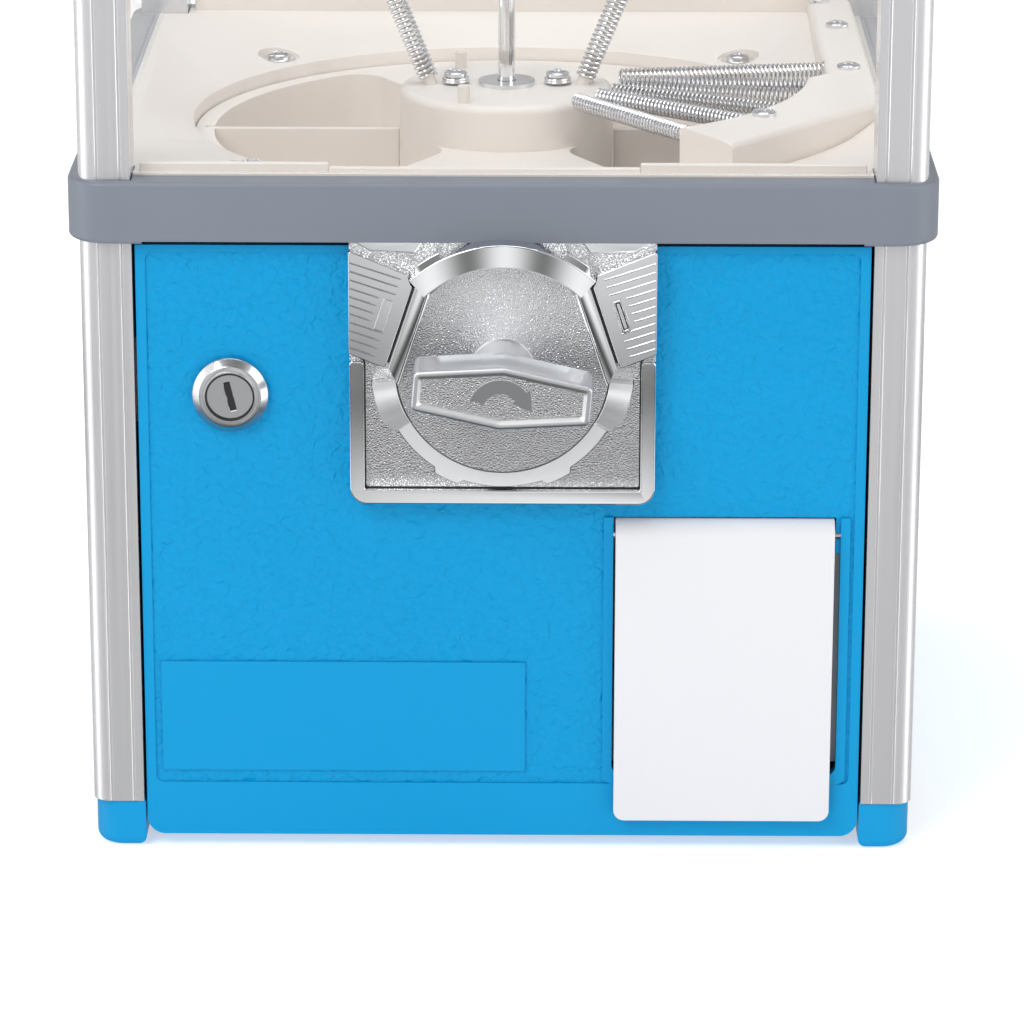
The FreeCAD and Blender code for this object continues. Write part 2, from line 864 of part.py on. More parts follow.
def make_spring_housing(bowl):
    """A cover along the right side: an arc round the wheel, then a straight run to the back."""
    start = math.radians(housing_start_angle)
    end = math.radians(housing_end_angle)
    middle = (start + end) / 2

    def on_arc(angle):
        return V(housing_radius * math.cos(angle), housing_radius * math.sin(angle), well_top)

    inner_end = V(housing_inner_x, on_arc(end).y + housing_turn_length, well_top)
    shoulder = V(housing_outer_x, housing_shoulder_side - bowl_slope_half, well_top)
    front = V(bowl_slope_half - housing_front_side, housing_front_inset - bowl_slope_half, well_top)
    back_inner = V(housing_inner_x, housing_back, well_top)
    back_outer = V(housing_outer_x, housing_back, well_top)
    corners = [inner_end, back_inner, back_outer, shoulder, front, on_arc(start)]
    edges = [Part.Arc(on_arc(start), on_arc(middle), on_arc(end)).toShape(),
             Part.LineSegment(on_arc(end), inner_end).toShape()]
    for first, second in zip(corners[:-1], corners[1:]):
        edges.append(Part.LineSegment(first, second).toShape())
    cover = Part.Face(Part.Wire(edges)).extrude(V(0, 0, housing_top - well_top))
    rim = [edge for edge in cover.Edges if edge.BoundBox.ZMin > housing_top - edge_pick]
    cover = cover.makeFillet(housing_edge_radius, rim)
    cuts = [bowl]
    cuts += post_clearance(well_top - 1, housing_top + 1, post_gap)
    for angle in brush_angles:
        direction = brush_direction(angle)
        socket_start = direction * (brush_wall(angle) - housing_socket_reach) + V(0, 0, brush_height)
        socket_length = housing_socket_reach + brush_socket_depth
        cuts.append(Part.makeCylinder(brush_coil_radius + spring_gap, socket_length, socket_start, direction))
    for x, y in housing_screw_places():
        cuts.append(screw_hole(V(x, y, housing_top), V(0, 0, -1)))
    head_room = well_top + bowl_screw_seat + screw_head_height + spring_gap
    cuts += at_corners(rod_along_z(screw_head_radius + spring_gap, well_top - 1, head_room,
                                   bowl_screw_at, bowl_screw_at))
    cover = cover.cut(cuts)
    return max(cover.Solids, key=lambda solid: solid.Volume)


def build_brush_springs():
    springs = []
    for number, angle in enumerate(brush_angles):
        direction = brush_direction(angle)
        foot = direction * brush_start_radius + V(0, 0, brush_height)
        length = brush_wall(angle) + brush_socket_depth - spring_gap - brush_start_radius
        springs.append(coil_spring("brush spring %d" % (number + 1), foot, direction, length,
                                   brush_coil_radius, brush_wire_radius, brush_curls))
    export("brush_springs", Part.makeCompound(springs))


def build_bowl_group():
    bowl = make_bowl()
    export("belt_frame", make_belt_frame())
    export("hopper_bowl", bowl)
    export("spring_housing", make_spring_housing(bowl))
    build_brush_springs()
    down = V(0, 0, -1)
    screws = [small_screw(V(x, y, housing_top), down) for x, y in housing_screw_places()]
    export("housing_screws", Part.makeCompound(screws))
    screws = at_corners(small_screw(V(bowl_screw_at, bowl_screw_at, well_top + bowl_screw_seat), down))
    export("bowl_screws", Part.makeCompound(screws))


# Gumball wheel and its drive

def sector_z(radius0, radius1, angle0, angle1, z0, z1):
    """A ring sector about the tie rod, angles from +X towards +Y."""
    def at(radius, angle):
        turn = math.radians(angle)
        return V(radius * math.cos(turn), radius * math.sin(turn), z0)
    middle = (angle0 + angle1) / 2
    edges = [Part.LineSegment(at(radius0, angle0), at(radius1, angle0)).toShape(),
             Part.Arc(at(radius1, angle0), at(radius1, middle), at(radius1, angle1)).toShape(),
             Part.LineSegment(at(radius1, angle1), at(radius0, angle1)).toShape(),
             Part.Arc(at(radius0, angle1), at(radius0, middle), at(radius0, angle0)).toShape()]
    return Part.Face(Part.Wire(edges)).extrude(V(0, 0, z1 - z0))


def agitator_axis(side):
    lean = math.radians(agitator_lean)
    return V(side * math.sin(lean), 0, math.cos(lean))


def make_wheel():
    """A wheel with two wide pockets, a raised hub and a spigot that turns in the bowl's floor."""
    disc = rod_along_z(wheel_radius, wheel_bottom, wheel_top)
    half_span = pocket_span / 2
    cuts = []
    for centre in (0.0, 180.0):
        pocket = sector_z(hub_radius, pocket_outer_radius, centre - half_span, centre + half_span,
                          wheel_bottom - 1, wheel_top + 1)
        upright = [edge for edge in pocket.Edges if edge.BoundBox.ZLength > wheel_top - wheel_bottom]
        cuts.append(pocket.makeFillet(pocket_corner_radius, upright))
        half_slot = partition_thickness / 2 + partition_gap
        slot = block(hub_radius + partition_slot_start, pocket_outer_radius + partition_slot_depth,
                     -half_slot, half_slot, wheel_top - partition_slot_drop, wheel_top + 1)
        cuts.append(turned(slot, centre))
    hub = rod_along_z(hub_radius, wheel_bottom, hub_top)
    top_edge = [edge for edge in hub.Edges if edge.BoundBox.ZMin > hub_top - edge_pick]
    hub = hub.makeFillet(hub_edge_radius, top_edge)
    spigot = rod_along_z(spigot_radius, crown_top, wheel_bottom)
    additions = [disc.cut(cuts), hub, spigot]
    for x, y in hub_peg_places:
        additions.append(rod_along_z(hub_peg_radius, hub_top - 1, hub_top + hub_peg_height, x, y))
    for side in (1, -1):
        peg_radius = agitator_coil_radius - 2 * agitator_wire_radius - spring_gap
        axis = agitator_axis(side)
        foot = V(side * agitator_foot, 0, hub_top)
        additions.append(Part.makeCylinder(peg_radius, agitator_peg_height + 2, foot - axis * 2, axis))
    wheel = joined(additions)
    holes = [rod_along_z(rod_radius + rod_gap, crown_top - 1, hub_top + 1)]
    for side in (1, -1):
        holes.append(screw_hole(V(side * agitator_screw_at, 0, hub_top), V(0, 0, -1)))
    for place in crown_screw_places():
        holes.append(screw_hole(V(place.x, place.y, crown_face), V(0, 0, 1)))
    return wheel.cut(holes).removeSplitter()


def crown_screw_places():
    places = []
    for third in range(3):
        angle = math.radians(90 + 120 * third)
        places.append(V(crown_screw_circle * math.cos(angle), crown_screw_circle * math.sin(angle), 0))
    return places


def make_partition():
    """A removable divider that drops into a slot of the wheel's rim."""
    half = partition_thickness / 2
    plate = block(hub_radius + partition_gap, pocket_outer_radius - partition_gap, -half, half,
                  wheel_bottom + partition_foot_gap, wheel_top - partition_top_gap)
    tab_end = pocket_outer_radius + partition_slot_depth - partition_gap
    tab = block(pocket_outer_radius - partition_tab, tab_end, -half, half,
                wheel_top - partition_slot_drop + partition_gap, wheel_top - partition_top_gap)
    return joined([plate, tab])


def make_crown_gear():
    """A face gear under the bowl's floor, with straight teeth that point down."""
    disc = rod_along_z(crown_disc_radius, crown_face, crown_top)
    tip_z = mech_height + pinion_radius - gear_tip_height
    base_z = crown_face + tooth_root_overlap
    face_corners = ((gear_face_inner, -1), (gear_face_outer, -1), (gear_face_outer, 1), (gear_face_inner, 1))
    teeth = []
    for number in range(crown_teeth):
        middle = 360.0 * (number + 0.5) / crown_teeth - 90
        wires = []
        for half_angle, z in ((crown_tooth_base_angle / 2, base_z), (crown_tooth_tip_angle / 2, tip_z)):
            corners = []
            for radius, side in face_corners:
                angle = math.radians(middle + side * half_angle)
                corners.append(V(radius * math.cos(angle), radius * math.sin(angle), z))
            wires.append(Part.makePolygon(corners + [corners[0]]))
        teeth.append(Part.makeLoft(wires, True, True))
    holes = [rod_along_z(rod_radius + rod_gap, tip_z - 1, crown_top + 1)]
    for place in crown_screw_places():
        holes.append(screw_hole(V(place.x, place.y, crown_face), V(0, 0, 1)))
    return joined([disc] + teeth).cut(holes).removeSplitter()


def make_pinion():
    """A small spur gear whose teeth reach up into the crown gear."""
    tip_radius = pinion_radius + gear_tip_height
    root_radius = pinion_radius - gear_root_depth
    body = rod_along_y(root_radius, -gear_face_outer, -gear_face_inner, 0, mech_height)
    tooth = prism_y([(-pinion_tooth_base / 2, mech_height + root_radius - pinion_root_overlap),
                     (-pinion_tooth_tip / 2, mech_height + tip_radius),
                     (pinion_tooth_tip / 2, mech_height + tip_radius),
                     (pinion_tooth_base / 2, mech_height + root_radius - pinion_root_overlap)],
                    -gear_face_outer, -gear_face_inner)
    centre = V(0, 0, mech_height)
    pitch = 360.0 / pinion_teeth
    teeth = [turned(tooth, pitch * number, V(0, 1, 0), centre) for number in range(pinion_teeth)]
    bore = rod_along_y(shaft_tip_radius + shaft_gap, -gear_face_outer - 1, -gear_face_inner + 1,
                       0, mech_height)
    return joined([body] + teeth).cut(bore)


def build_wheel_group():
    export("gumball_wheel", make_wheel())
    partition = make_partition()
    export("right_partition", partition)
    export("left_partition", turned(partition, 180))
    export("crown_gear", make_crown_gear())
    export("drive_pinion", make_pinion())
    screws = [small_screw(V(place.x, place.y, crown_face), V(0, 0, 1)) for place in crown_screw_places()]
    export("crown_screws", Part.makeCompound(screws))
    screws = [small_screw(V(side * agitator_screw_at, 0, hub_top), V(0, 0, -1)) for side in (1, -1)]
    export("agitator_screws", Part.makeCompound(screws))
    washer = rod_along_z(washer_radius, hub_top, hub_top + washer_thickness)
    export("wheel_washer", washer.cut(rod_along_z(rod_radius + rod_gap, hub_top - 1, hub_top + 5)))
    for name, side in (("right", 1), ("left", -1)):
        axis = agitator_axis(side)
        lift = agitator_coil_radius * math.tan(math.radians(agitator_lean)) + spring_gap
        foot = V(side * agitator_foot, 0, hub_top) + axis * lift
        spring = coil_spring(name + " agitator spring", foot, axis, agitator_length,
                             agitator_coil_radius, agitator_wire_radius, agitator_curls)
        export(name + "_agitator_spring", spring)


def hexagon(radius, z0, z1):
    points = []
    for sixth in range(6):
        angle = math.radians(60 * sixth)
        points.append((radius * math.cos(angle), radius * math.sin(angle)))
    return prism_z(points, z0, z1)


def build_rod():
    export("centre_rod", rod_along_z(rod_radius, rod_bottom, rod_top))
    bore = rod_along_z(rod_radius + screw_gap, 0, base_top + 2 * nut_height)
    low = hexagon(nut_radius, base_bottom - nut_height, base_bottom).cut(bore)
    high = hexagon(nut_radius, base_top, base_top + nut_height).cut(bore)
    export("rod_nuts", Part.makeCompound([low, high]))


# Front panel and flap

def make_front_panel():
    """A dished panel between the front posts: a sunk field, a notch for the mechanism and a mouth."""
    sheet = block(-panel_half, panel_half, panel_front, panel_back + panel_return, panel_bottom, panel_top)
    lower = edges_along(sheet, V(0, 1, 0), lambda p: p.z < panel_bottom + edge_pick)
    sheet = sheet.makeFillet(panel_corner_radius, lower)
    inside_half = panel_half - panel_return_wall
    inside = block(-inside_half, inside_half, panel_back, panel_back + panel_return + 1,
                   panel_bottom + panel_return_wall, panel_top - panel_return_wall)
    field_half = panel_half - field_margin
    field = block(-field_half, field_half, panel_front - 1, panel_front + field_depth,
                  field_bottom, panel_top - field_top_margin)
    field = field.makeFillet(field_corner_radius, edges_along(field, V(0, 1, 0), lambda p: True))
    field_front = panel_front + field_depth
    pad = block(pad_left, pad_left + pad_length, field_front - pad_rise, field_front,
                pad_bottom, pad_bottom + pad_height)
    rim_bottom = mouth_bottom - mouth_frame_width
    mouth_rim = block(mouth_left - mouth_frame_width, mouth_right + mouth_frame_width,
                      field_front - mouth_frame_rise, field_front, rim_bottom, mouth_top)
    lower = edges_along(mouth_rim, V(0, 1, 0), lambda p: p.z < rim_bottom + edge_pick)
    mouth_rim = mouth_rim.makeFillet(mouth_frame_width, lower)
    mouth = block(mouth_left, mouth_right, panel_front - 5, panel_back + 1, mouth_bottom, mouth_top)
    lower = edges_along(mouth, V(0, 1, 0), lambda p: p.z < mouth_bottom + edge_pick)
    mouth = mouth.makeFillet(mouth_corner_radius, lower)
    notch_half = mech_flange_half + mech_notch_gap
    notch_bottom = mech_height - mech_flange_bottom_drop - mech_notch_gap
    notch = block(-notch_half, notch_half, panel_front - 1, panel_back + panel_return + 1,
                  notch_bottom, panel_top + 1)
    lock_hole = rod_along_y(lock_barrel_radius + lock_hole_gap, panel_front - 1, panel_back + 1,
                            lock_x, lock_z)
    lock_seat = rod_along_y(lock_bezel_radius, panel_front, field_front, lock_x, lock_z)
    plate_seat = block(-plate_half_width, plate_half_width, panel_front, field_front,
                       mech_height - plate_bottom_drop, panel_top - field_top_margin)
    raised = [sheet.cut([inside, field]), pad, mouth_rim, lock_seat, plate_seat]
    shell = joined(raised).cut([mouth, notch, lock_hole])
    lug_low = flap_hinge_height - flap_roll_radius
    lug_front = panel_front + flap_lug_recess
    lug_back = panel_back + flap_lug_back
    pin_left = mouth_left - flap_pin_seat
    pin_right = mouth_right + flap_pin_seat
    lug_left = flap_right + flap_lug_gap
    lugs = [block(lug_left, mouth_right, lug_front, panel_back, lug_low, mouth_top),
            block(lug_left, pin_right, panel_back, lug_back, lug_low, mouth_top),
            block(pin_left, mouth_left, panel_back, lug_back, lug_low, mouth_top)]
    pin_hole = rod_along_x(flap_pin_radius + screw_gap, pin_left, pin_right, flap_hinge_y, flap_hinge_height)
    return joined([shell] + lugs).cut(pin_hole).removeSplitter()


def make_flap():
    """A flap whose top rolls back into the mouth, with a cheek at each end that turns on the pin."""
    plate = block(flap_left, flap_right, flap_front, flap_front + flap_thickness,
                  flap_bottom, flap_hinge_height)
    lower = edges_along(plate, V(0, 1, 0), lambda p: p.z < flap_bottom + edge_pick)
    plate = plate.makeFillet(flap_corner_radius, lower)
    y = flap_hinge_y
    z = flap_hinge_height
    roll = rod_along_x(flap_roll_radius, flap_left, flap_right, y, z)
    inner_left = flap_left + flap_cheek
    inner_right = flap_right - flap_cheek
    hollow = rod_along_x(flap_roll_radius - flap_thickness, inner_left, inner_right, y, z)
    under = block(inner_left, inner_right, flap_front + flap_thickness, y + flap_roll_radius + 1,
                  z - flap_roll_radius - 1, z)
    bore = rod_along_x(flap_pin_radius + flap_pin_gap, flap_left - 1, flap_right + 1, y, z)
    return joined([plate, roll]).cut([hollow, under, bore]).removeSplitter()


def build_panel_group():
    export("front_panel", make_front_panel())
    export("flap", make_flap())
    pin = rod_along_x(flap_pin_radius, mouth_left - flap_pin_seat, mouth_right + flap_pin_seat,
                      flap_hinge_y, flap_hinge_height)
    export("flap_hinge_pin", pin)


# Panel lock

def build_panel_lock():
    catch_back = -post_inner + catch_thickness
    barrel_back = catch_back
    bezel_front = panel_front - lock_bezel_height
    bezel = cone_along_y(lock_bezel_land, lock_bezel_radius, bezel_front, panel_front, lock_x, lock_z)
    lip_radius = lock_plug_radius + lock_running_gap + lock_lip_width
    lip = rod_along_y(lip_radius, bezel_front - lock_lip_height, panel_front, lock_x, lock_z)
    body = rod_along_y(lock_barrel_radius, panel_front, barrel_back, lock_x, lock_z)
    bore = rod_along_y(lock_plug_radius + lock_running_gap, bezel_front - 1, barrel_back + 1, lock_x, lock_z)
    export("lock_barrel", joined([bezel, lip, body]).cut(bore))
    nut_back = panel_back + lock_nut_thickness
    nut = rod_along_y(lock_nut_radius, panel_back, nut_back, lock_x, lock_z)
    between_flats = block(lock_x - lock_nut_flat, lock_x + lock_nut_flat, panel_back, nut_back,
                          lock_z - lock_nut_radius, lock_z + lock_nut_radius)
    hole = rod_along_y(lock_barrel_radius + screw_gap, panel_back - 1, nut_back + 1, lock_x, lock_z)
    export("lock_nut", nut.common(between_flats).cut(hole))
    cam_front = barrel_back + catch_gap
    plug_front = bezel_front + plug_recess
    plug = rod_along_y(lock_plug_radius, plug_front, cam_front, lock_x, lock_z)
    slot = block(lock_x - key_slot_width / 2, lock_x + key_slot_width / 2, bezel_front - 1,
                 plug_front + key_slot_depth, lock_z - key_slot_length / 2, lock_z + key_slot_length / 2)
    slot = turned(slot, key_slot_tilt, V(0, 1, 0), V(lock_x, 0, lock_z))
    tap = rod_along_y(screw_shank_radius + screw_gap, cam_front - screw_shank_length, cam_front + 1,
                      lock_x, lock_z)
    export("lock_plug", plug.cut([slot, tap]))
    cam_back = cam_front + cam_thickness
    arm = block(lock_x - cam_half_width, lock_x + cam_half_width, cam_front, cam_back,
                lock_z - cam_length, lock_z + cam_half_width)
    arm = arm.makeFillet(cam_end_radius, edges_along(arm, V(0, 1, 0), lambda p: True))
    arm_hole = rod_along_y(screw_shank_radius + screw_gap, cam_front - 1, cam_back + 1, lock_x, lock_z)
    export("lock_cam", arm.cut(arm_hole))
    export("cam_screw", small_screw(V(lock_x, cam_back, lock_z), V(0, -1, 0)))
    plate = block(-post_face + catch_post_overlap, lock_x - cam_half_width - catch_side_gap,
                  -post_inner, catch_back, lock_z - catch_half_height, lock_z + catch_half_height)
    export("lock_catch", plate)


# Coin mechanism

def wing_outline(side):
    """The quarter of the plate outside a coin slit, as (x, z) corners."""
    gap = coin_slit_width
    return [(side * plate_half_width, mech_height + wing_top_rise),
            (side * plate_half_width, mech_height + wing_low_rise),
            (side * (bar_bottom[0] + gap), mech_height + bar_bottom[1]),
            (side * (bar_top[0] + gap), mech_height + bar_top[1])]


def bar_tilt():
    """The angle of the coin slits from upright."""
    return math.degrees(math.atan2(bar_bottom[0] - bar_top[0], bar_top[1] - bar_bottom[1]))


def beside_bar(offset, along, side, y0, y1, width, length):
    """A block beside a slanted bar, offset outwards from it and shifted along it."""
    middle_x = (bar_top[0] + bar_bottom[0]) / 2
    middle_z = mech_height + (bar_top[1] + bar_bottom[1]) / 2
    upright = block(middle_x + offset, middle_x + offset + width, y0, y1,
                    middle_z + along - length / 2, middle_z + along + length / 2)
    tilted = turned(upright, -bar_tilt(), V(0, 1, 0), V(middle_x, 0, middle_z))
    if side > 0:
        return tilted
    return tilted.mirror(V(0, 0, 0), V(1, 0, 0))


def make_faceplate():
    """The cast plate round the handle: border, lower ring, hood, slanted bars and ribbed coin wings."""
    bottom = mech_height - plate_bottom_drop
    top = mech_height + plate_top_rise
    plate = block(-plate_half_width, plate_half_width, plate_front, panel_front, bottom, top)
    lower = edges_along(plate, V(0, 1, 0), lambda p: p.z < bottom + edge_pick)
    plate = plate.makeFillet(plate_corner_radius, lower)
    upper = edges_along(plate, V(0, 1, 0), lambda p: p.z > top - edge_pick)
    plate = plate.makeFillet(plate_top_radius, upper)
    border_front = plate_front - border_rise
    border_top = mech_height + border_top_rise
    border = block(-plate_half_width, plate_half_width, border_front, plate_front, bottom, border_top)
    lower = edges_along(border, V(0, 1, 0), lambda p: p.z < bottom + edge_pick)
    border = border.makeFillet(plate_corner_radius, lower)
    field_half = plate_half_width - border_width
    field = block(-field_half, field_half, border_front - 1, plate_front,
                  bottom + border_width, border_top + 1)
    hood_front = plate_front - hood_rise
    bar_front = plate_front - bar_rise
    raised = [plate, border.cut(field)]
    raised += lower_ring()
    raised += hood_pieces(hood_front)
    for side in (1, -1):
        raised.append(coin_bar(side, bar_front, panel_front))
        raised += coin_wing(side)
    body = joined(raised)
    bars_back = disc_front - disc_gap
    bars = [coin_bar(side, bar_front, bars_back) for side in (1, -1)]
    front_opening = rod_along_y(disc_opening_radius, hood_front - 1, bars_back, 0, mech_height)
    back_opening = rod_along_y(disc_opening_radius, bars_back, panel_front + 1, 0, mech_height)
    cuts = [back_opening, front_opening.cut(bars)]
    for side in (1, -1):
        cuts.append(beside_bar(0.0, 0.0, side, hood_front - 1, panel_front + 1,
                               coin_slit_width, coin_slit_length))
    wing_front = plate_front - wing_rise
    cuts.append(beside_bar(coin_slit_width + wing_window_inset, wing_window_shift, 1, wing_front - 2,
                           wing_front + wing_window_depth, wing_window_width, wing_window_length))
    for place in mech_screw_places():
        hole_end = plate_front + mech_screw_end_gap - screw_tip_room
        cuts.append(rod_along_y(screw_shank_radius + screw_gap, hole_end, panel_front + 1, place.x, place.z))
    return body.cut(cuts).removeSplitter()


def lower_ring():
    """The raised ring below the disc, with two small feet and two high ends that ramp down to it."""
    ring_front = plate_front - ring_rise
    lug_front = ring_front - ring_lug_rise
    lug_start = 180 + ring_start_angle
    pieces = [ring_sector(disc_opening_radius, ring_outer_radius, lug_start, 360 - ring_start_angle,
                          ring_front, panel_front)]
    first, last = ring_foot_angles
    lug_end = 180 + ring_lug_end_angle
    ramp_end = 180 + ring_ramp_end_angle
    foot = ring_sector(disc_opening_radius, ring_foot_radius, 270 - last, 270 - first,
                       ring_front, panel_front)
    lug = ring_sector(disc_opening_radius, ring_lug_radius, lug_start, lug_end, lug_front, panel_front)
    ramp = ring_sector(disc_opening_radius, ring_foot_radius, lug_end, ramp_end, lug_front, panel_front)
    along = math.radians(lug_end)
    down = math.radians(ramp_end)
    high = V(math.cos(along), 0, math.sin(along)) * disc_opening_radius + V(0, lug_front, mech_height)
    low = V(math.cos(down), 0, math.sin(down)) * disc_opening_radius + V(0, ring_front, mech_height)
    corner = V(low.x, lug_front - 1, low.z)
    above = V(high.x, lug_front - 1, high.z)
    middle = math.radians((lug_end + ramp_end) / 2)
    outwards = V(math.cos(middle), 0, math.sin(middle))
    wedge = outline([high, low, corner, above])
    wedge.translate(outwards * -2 * ring_lug_rise)
    ramp = ramp.cut(wedge.extrude(outwards * ring_foot_radius))
    for piece in (foot, lug, ramp):
        pieces.append(piece)
        pieces.append(piece.mirror(V(0, 0, 0), V(1, 0, 0)))
    return pieces


def hood_pieces(front):
    """The arch above the disc, with a stepped lug at each end that tapers back to the arch."""
    pieces = [ring_sector(hood_inner_radius, hood_outer_radius, 90 - hood_half_angle, 90 + hood_half_angle,
                          front, plate_front)]
    first, last = hood_lug_angles

    def at(radius, angle):
        turn = math.radians(90 - angle)
        return (radius * math.cos(turn), mech_height + radius * math.sin(turn))

    lug_front = front + hood_lug_step
    lug = ring_sector(hood_inner_radius, hood_lug_radius, 90 - last, 90 - first, lug_front, plate_front)
    middle_radius = (hood_inner_radius + hood_outer_radius) / 2
    taper = prism_y([at(hood_lug_radius, last), at(hood_outer_radius, hood_half_angle),
                     at(middle_radius, hood_half_angle), at(middle_radius, last)], lug_front, plate_front)
    for piece in (lug, taper):
        pieces.append(piece)
        pieces.append(piece.mirror(V(0, 0, 0), V(1, 0, 0)))
    return pieces


def coin_bar(side, front, back):
    """The slanted bar between the disc and a coin slit."""
    length = math.hypot(bar_bottom[0] - bar_top[0], bar_top[1] - bar_bottom[1]) + bar_overrun
    return beside_bar(-bar_width, -bar_shift, side, front, back, bar_width, length)


def coin_wing(side):
    """The raised quarter outside a coin slit, with ribs across it; the left one has a blank relief."""
    wing_front = plate_front - wing_rise
    pieces = [prism_y(wing_outline(side), wing_front, panel_front)]
    spacing = coin_slit_length / wing_rib_count
    limit = prism_y(wing_outline(side), wing_front - 1, panel_front)
    for number in range(wing_rib_count):
        along = (number - (wing_rib_count - 1) / 2) * spacing + wing_rib_shift
        rib = beside_bar(coin_slit_width + wing_rib_inset, along, side, wing_front - wing_rib_rise,
                         panel_front, wing_rib_length, wing_rib_width)
        pieces.append(rib.common(limit))
    if side < 0:
        blank_front = wing_front - wing_blank_rise
        pieces.append(beside_bar(coin_slit_width + wing_window_inset, wing_window_shift, side,
                                 blank_front, panel_front, wing_window_width, wing_window_length))
    return pieces


def mech_screw_places():
    places = []
    for side_x in (-1, 1):
        for side_z in (-1, 1):
            places.append(V(side_x * mech_screw_half, 0, mech_height + side_z * mech_screw_drop))
    return places


def make_mech_housing():
    """The drum behind the plate, with a flange, a coin exit below and a long sleeve for the shaft."""
    flange = block(-mech_flange_half, mech_flange_half, panel_front, panel_front + mech_flange_thickness,
                   mech_height - mech_flange_bottom_drop, mech_height + mech_flange_top_rise)
    drum = rod_along_y(drum_outer_radius, panel_front, drum_back + drum_wall, 0, mech_height)
    sleeve = rod_along_y(sleeve_radius, drum_back, sleeve_back, 0, mech_height)
    body = joined([flange, drum, sleeve])
    hollow = rod_along_y(drum_outer_radius - drum_wall, panel_front - 1, drum_back, 0, mech_height)
    bore = rod_along_y(shaft_radius + running_gap, drum_back - 1, sleeve_back + 1, 0, mech_height)
    exit_cut = block(-coin_exit_half_width, coin_exit_half_width,
                     panel_front + mech_flange_thickness + 1, drum_back,
                     mech_height - drum_outer_radius - 1, mech_height - drum_outer_radius + coin_exit_height)
    cuts = [hollow, bore, exit_cut]
    for side in (1, -1):
        cuts.append(beside_bar(0.0, 0.0, side, panel_front - 1, panel_front + mech_flange_thickness + 4,
                               coin_slit_width, coin_slit_length))
    for place in mech_screw_places():
        cuts.append(rod_along_y(screw_shank_radius + screw_gap, panel_front - 1,
                                panel_front + mech_flange_thickness + 1, place.x, place.z))
    cuts.append(rod_along_y(pawl_pin_radius + screw_gap, drum_back - 1, drum_back + drum_wall + 1,
                            pawl_pivot[0], mech_height + pawl_pivot[1]))
    return body.cut(cuts)


def make_handle():
    """A six-sided grip with a rimmed face, finger scoops that run out at the ends and a boss behind it."""
    half = handle_width / 2
    mid = handle_mid_height / 2
    end = handle_end_height / 2
    rise = (mid - end) / half

    def grip_outline(inset):
        slope = inset * math.hypot(1, rise)
        side = end + inset * rise - slope
        return [(-half + inset, mech_height - side), (-half + inset, mech_height + side),
                (0, mech_height + mid - slope), (half - inset, mech_height + side),
                (half - inset, mech_height - side), (0, mech_height - mid + slope)]

    back = handle_front + handle_depth
    grip = prism_y(grip_outline(0.0), handle_front, back)
    grip = grip.makeFillet(handle_edge_radius, edges_along(grip, V(0, 1, 0), lambda p: True))
    cuts = [prism_y(grip_outline(handle_rim), handle_front - 1, handle_front + handle_recess)]
    scoop_y = (handle_front + back) / 2 + handle_scoop_back
    far = handle_scoop_half + handle_scoop_run
    end_radius = handle_scoop_radius - handle_scoop_depth - rise * far
    for side in (1, -1):
        height = mech_height + side * (mid - handle_scoop_depth + handle_scoop_radius)
        cuts.append(rod_along_x(handle_scoop_radius, -handle_scoop_half, handle_scoop_half, scoop_y, height))
        for hand in (1, -1):
            start = V(hand * handle_scoop_half, scoop_y, height)
            cuts.append(Part.makeCone(handle_scoop_radius, end_radius, handle_scoop_run,
                                      start, V(hand, 0, 0)))
    boss = rod_along_y(handle_boss_radius, back - handle_depth / 2, disc_front, 0, mech_height)
    handle = joined([grip.cut(cuts), boss])
    bore = rod_along_y(shaft_radius + shaft_gap, shaft_front - shaft_end_gap, disc_front + 1, 0, mech_height)
    return turned(handle.cut(bore).removeSplitter(), handle_tilt, V(0, 1, 0), V(0, 0, mech_height))


def make_ratchet():
    """A saw-toothed wheel that lets the shaft turn one way only."""
    points = []
    for number in range(ratchet_teeth):
        start = 2 * math.pi * number / ratchet_teeth
        for radius in (ratchet_tip_radius, ratchet_root_radius):
            points.append((radius * math.cos(start), mech_height + radius * math.sin(start)))
    wheel = prism_y(points, ratchet_front, ratchet_front + ratchet_thickness)
    ratchet_back = ratchet_front + ratchet_thickness
    bore = rod_along_y(shaft_radius + shaft_gap, ratchet_front - 1, ratchet_back + 1, 0, mech_height)
    return wheel.cut(bore)


def make_pawl():
    """A short lever that rests just clear of the ratchet's teeth."""
    x, rise = pawl_pivot
    z = mech_height + rise
    back = ratchet_front + ratchet_thickness
    eye = rod_along_y(pawl_eye_radius, ratchet_front, back, x, z)
    reach = ratchet_tip_radius + pawl_gap
    nose = (-reach - pawl_nose_back, mech_height + pawl_nose_rise)
    arm = prism_y([(x - pawl_eye_radius, z), (-reach, mech_height), nose, (-reach - pawl_width, mech_height)],
                  ratchet_front, back)
    bore = rod_along_y(pawl_pin_radius + running_gap, ratchet_front - 1, back + 1, x, z)
    return joined([eye, arm]).cut(bore)


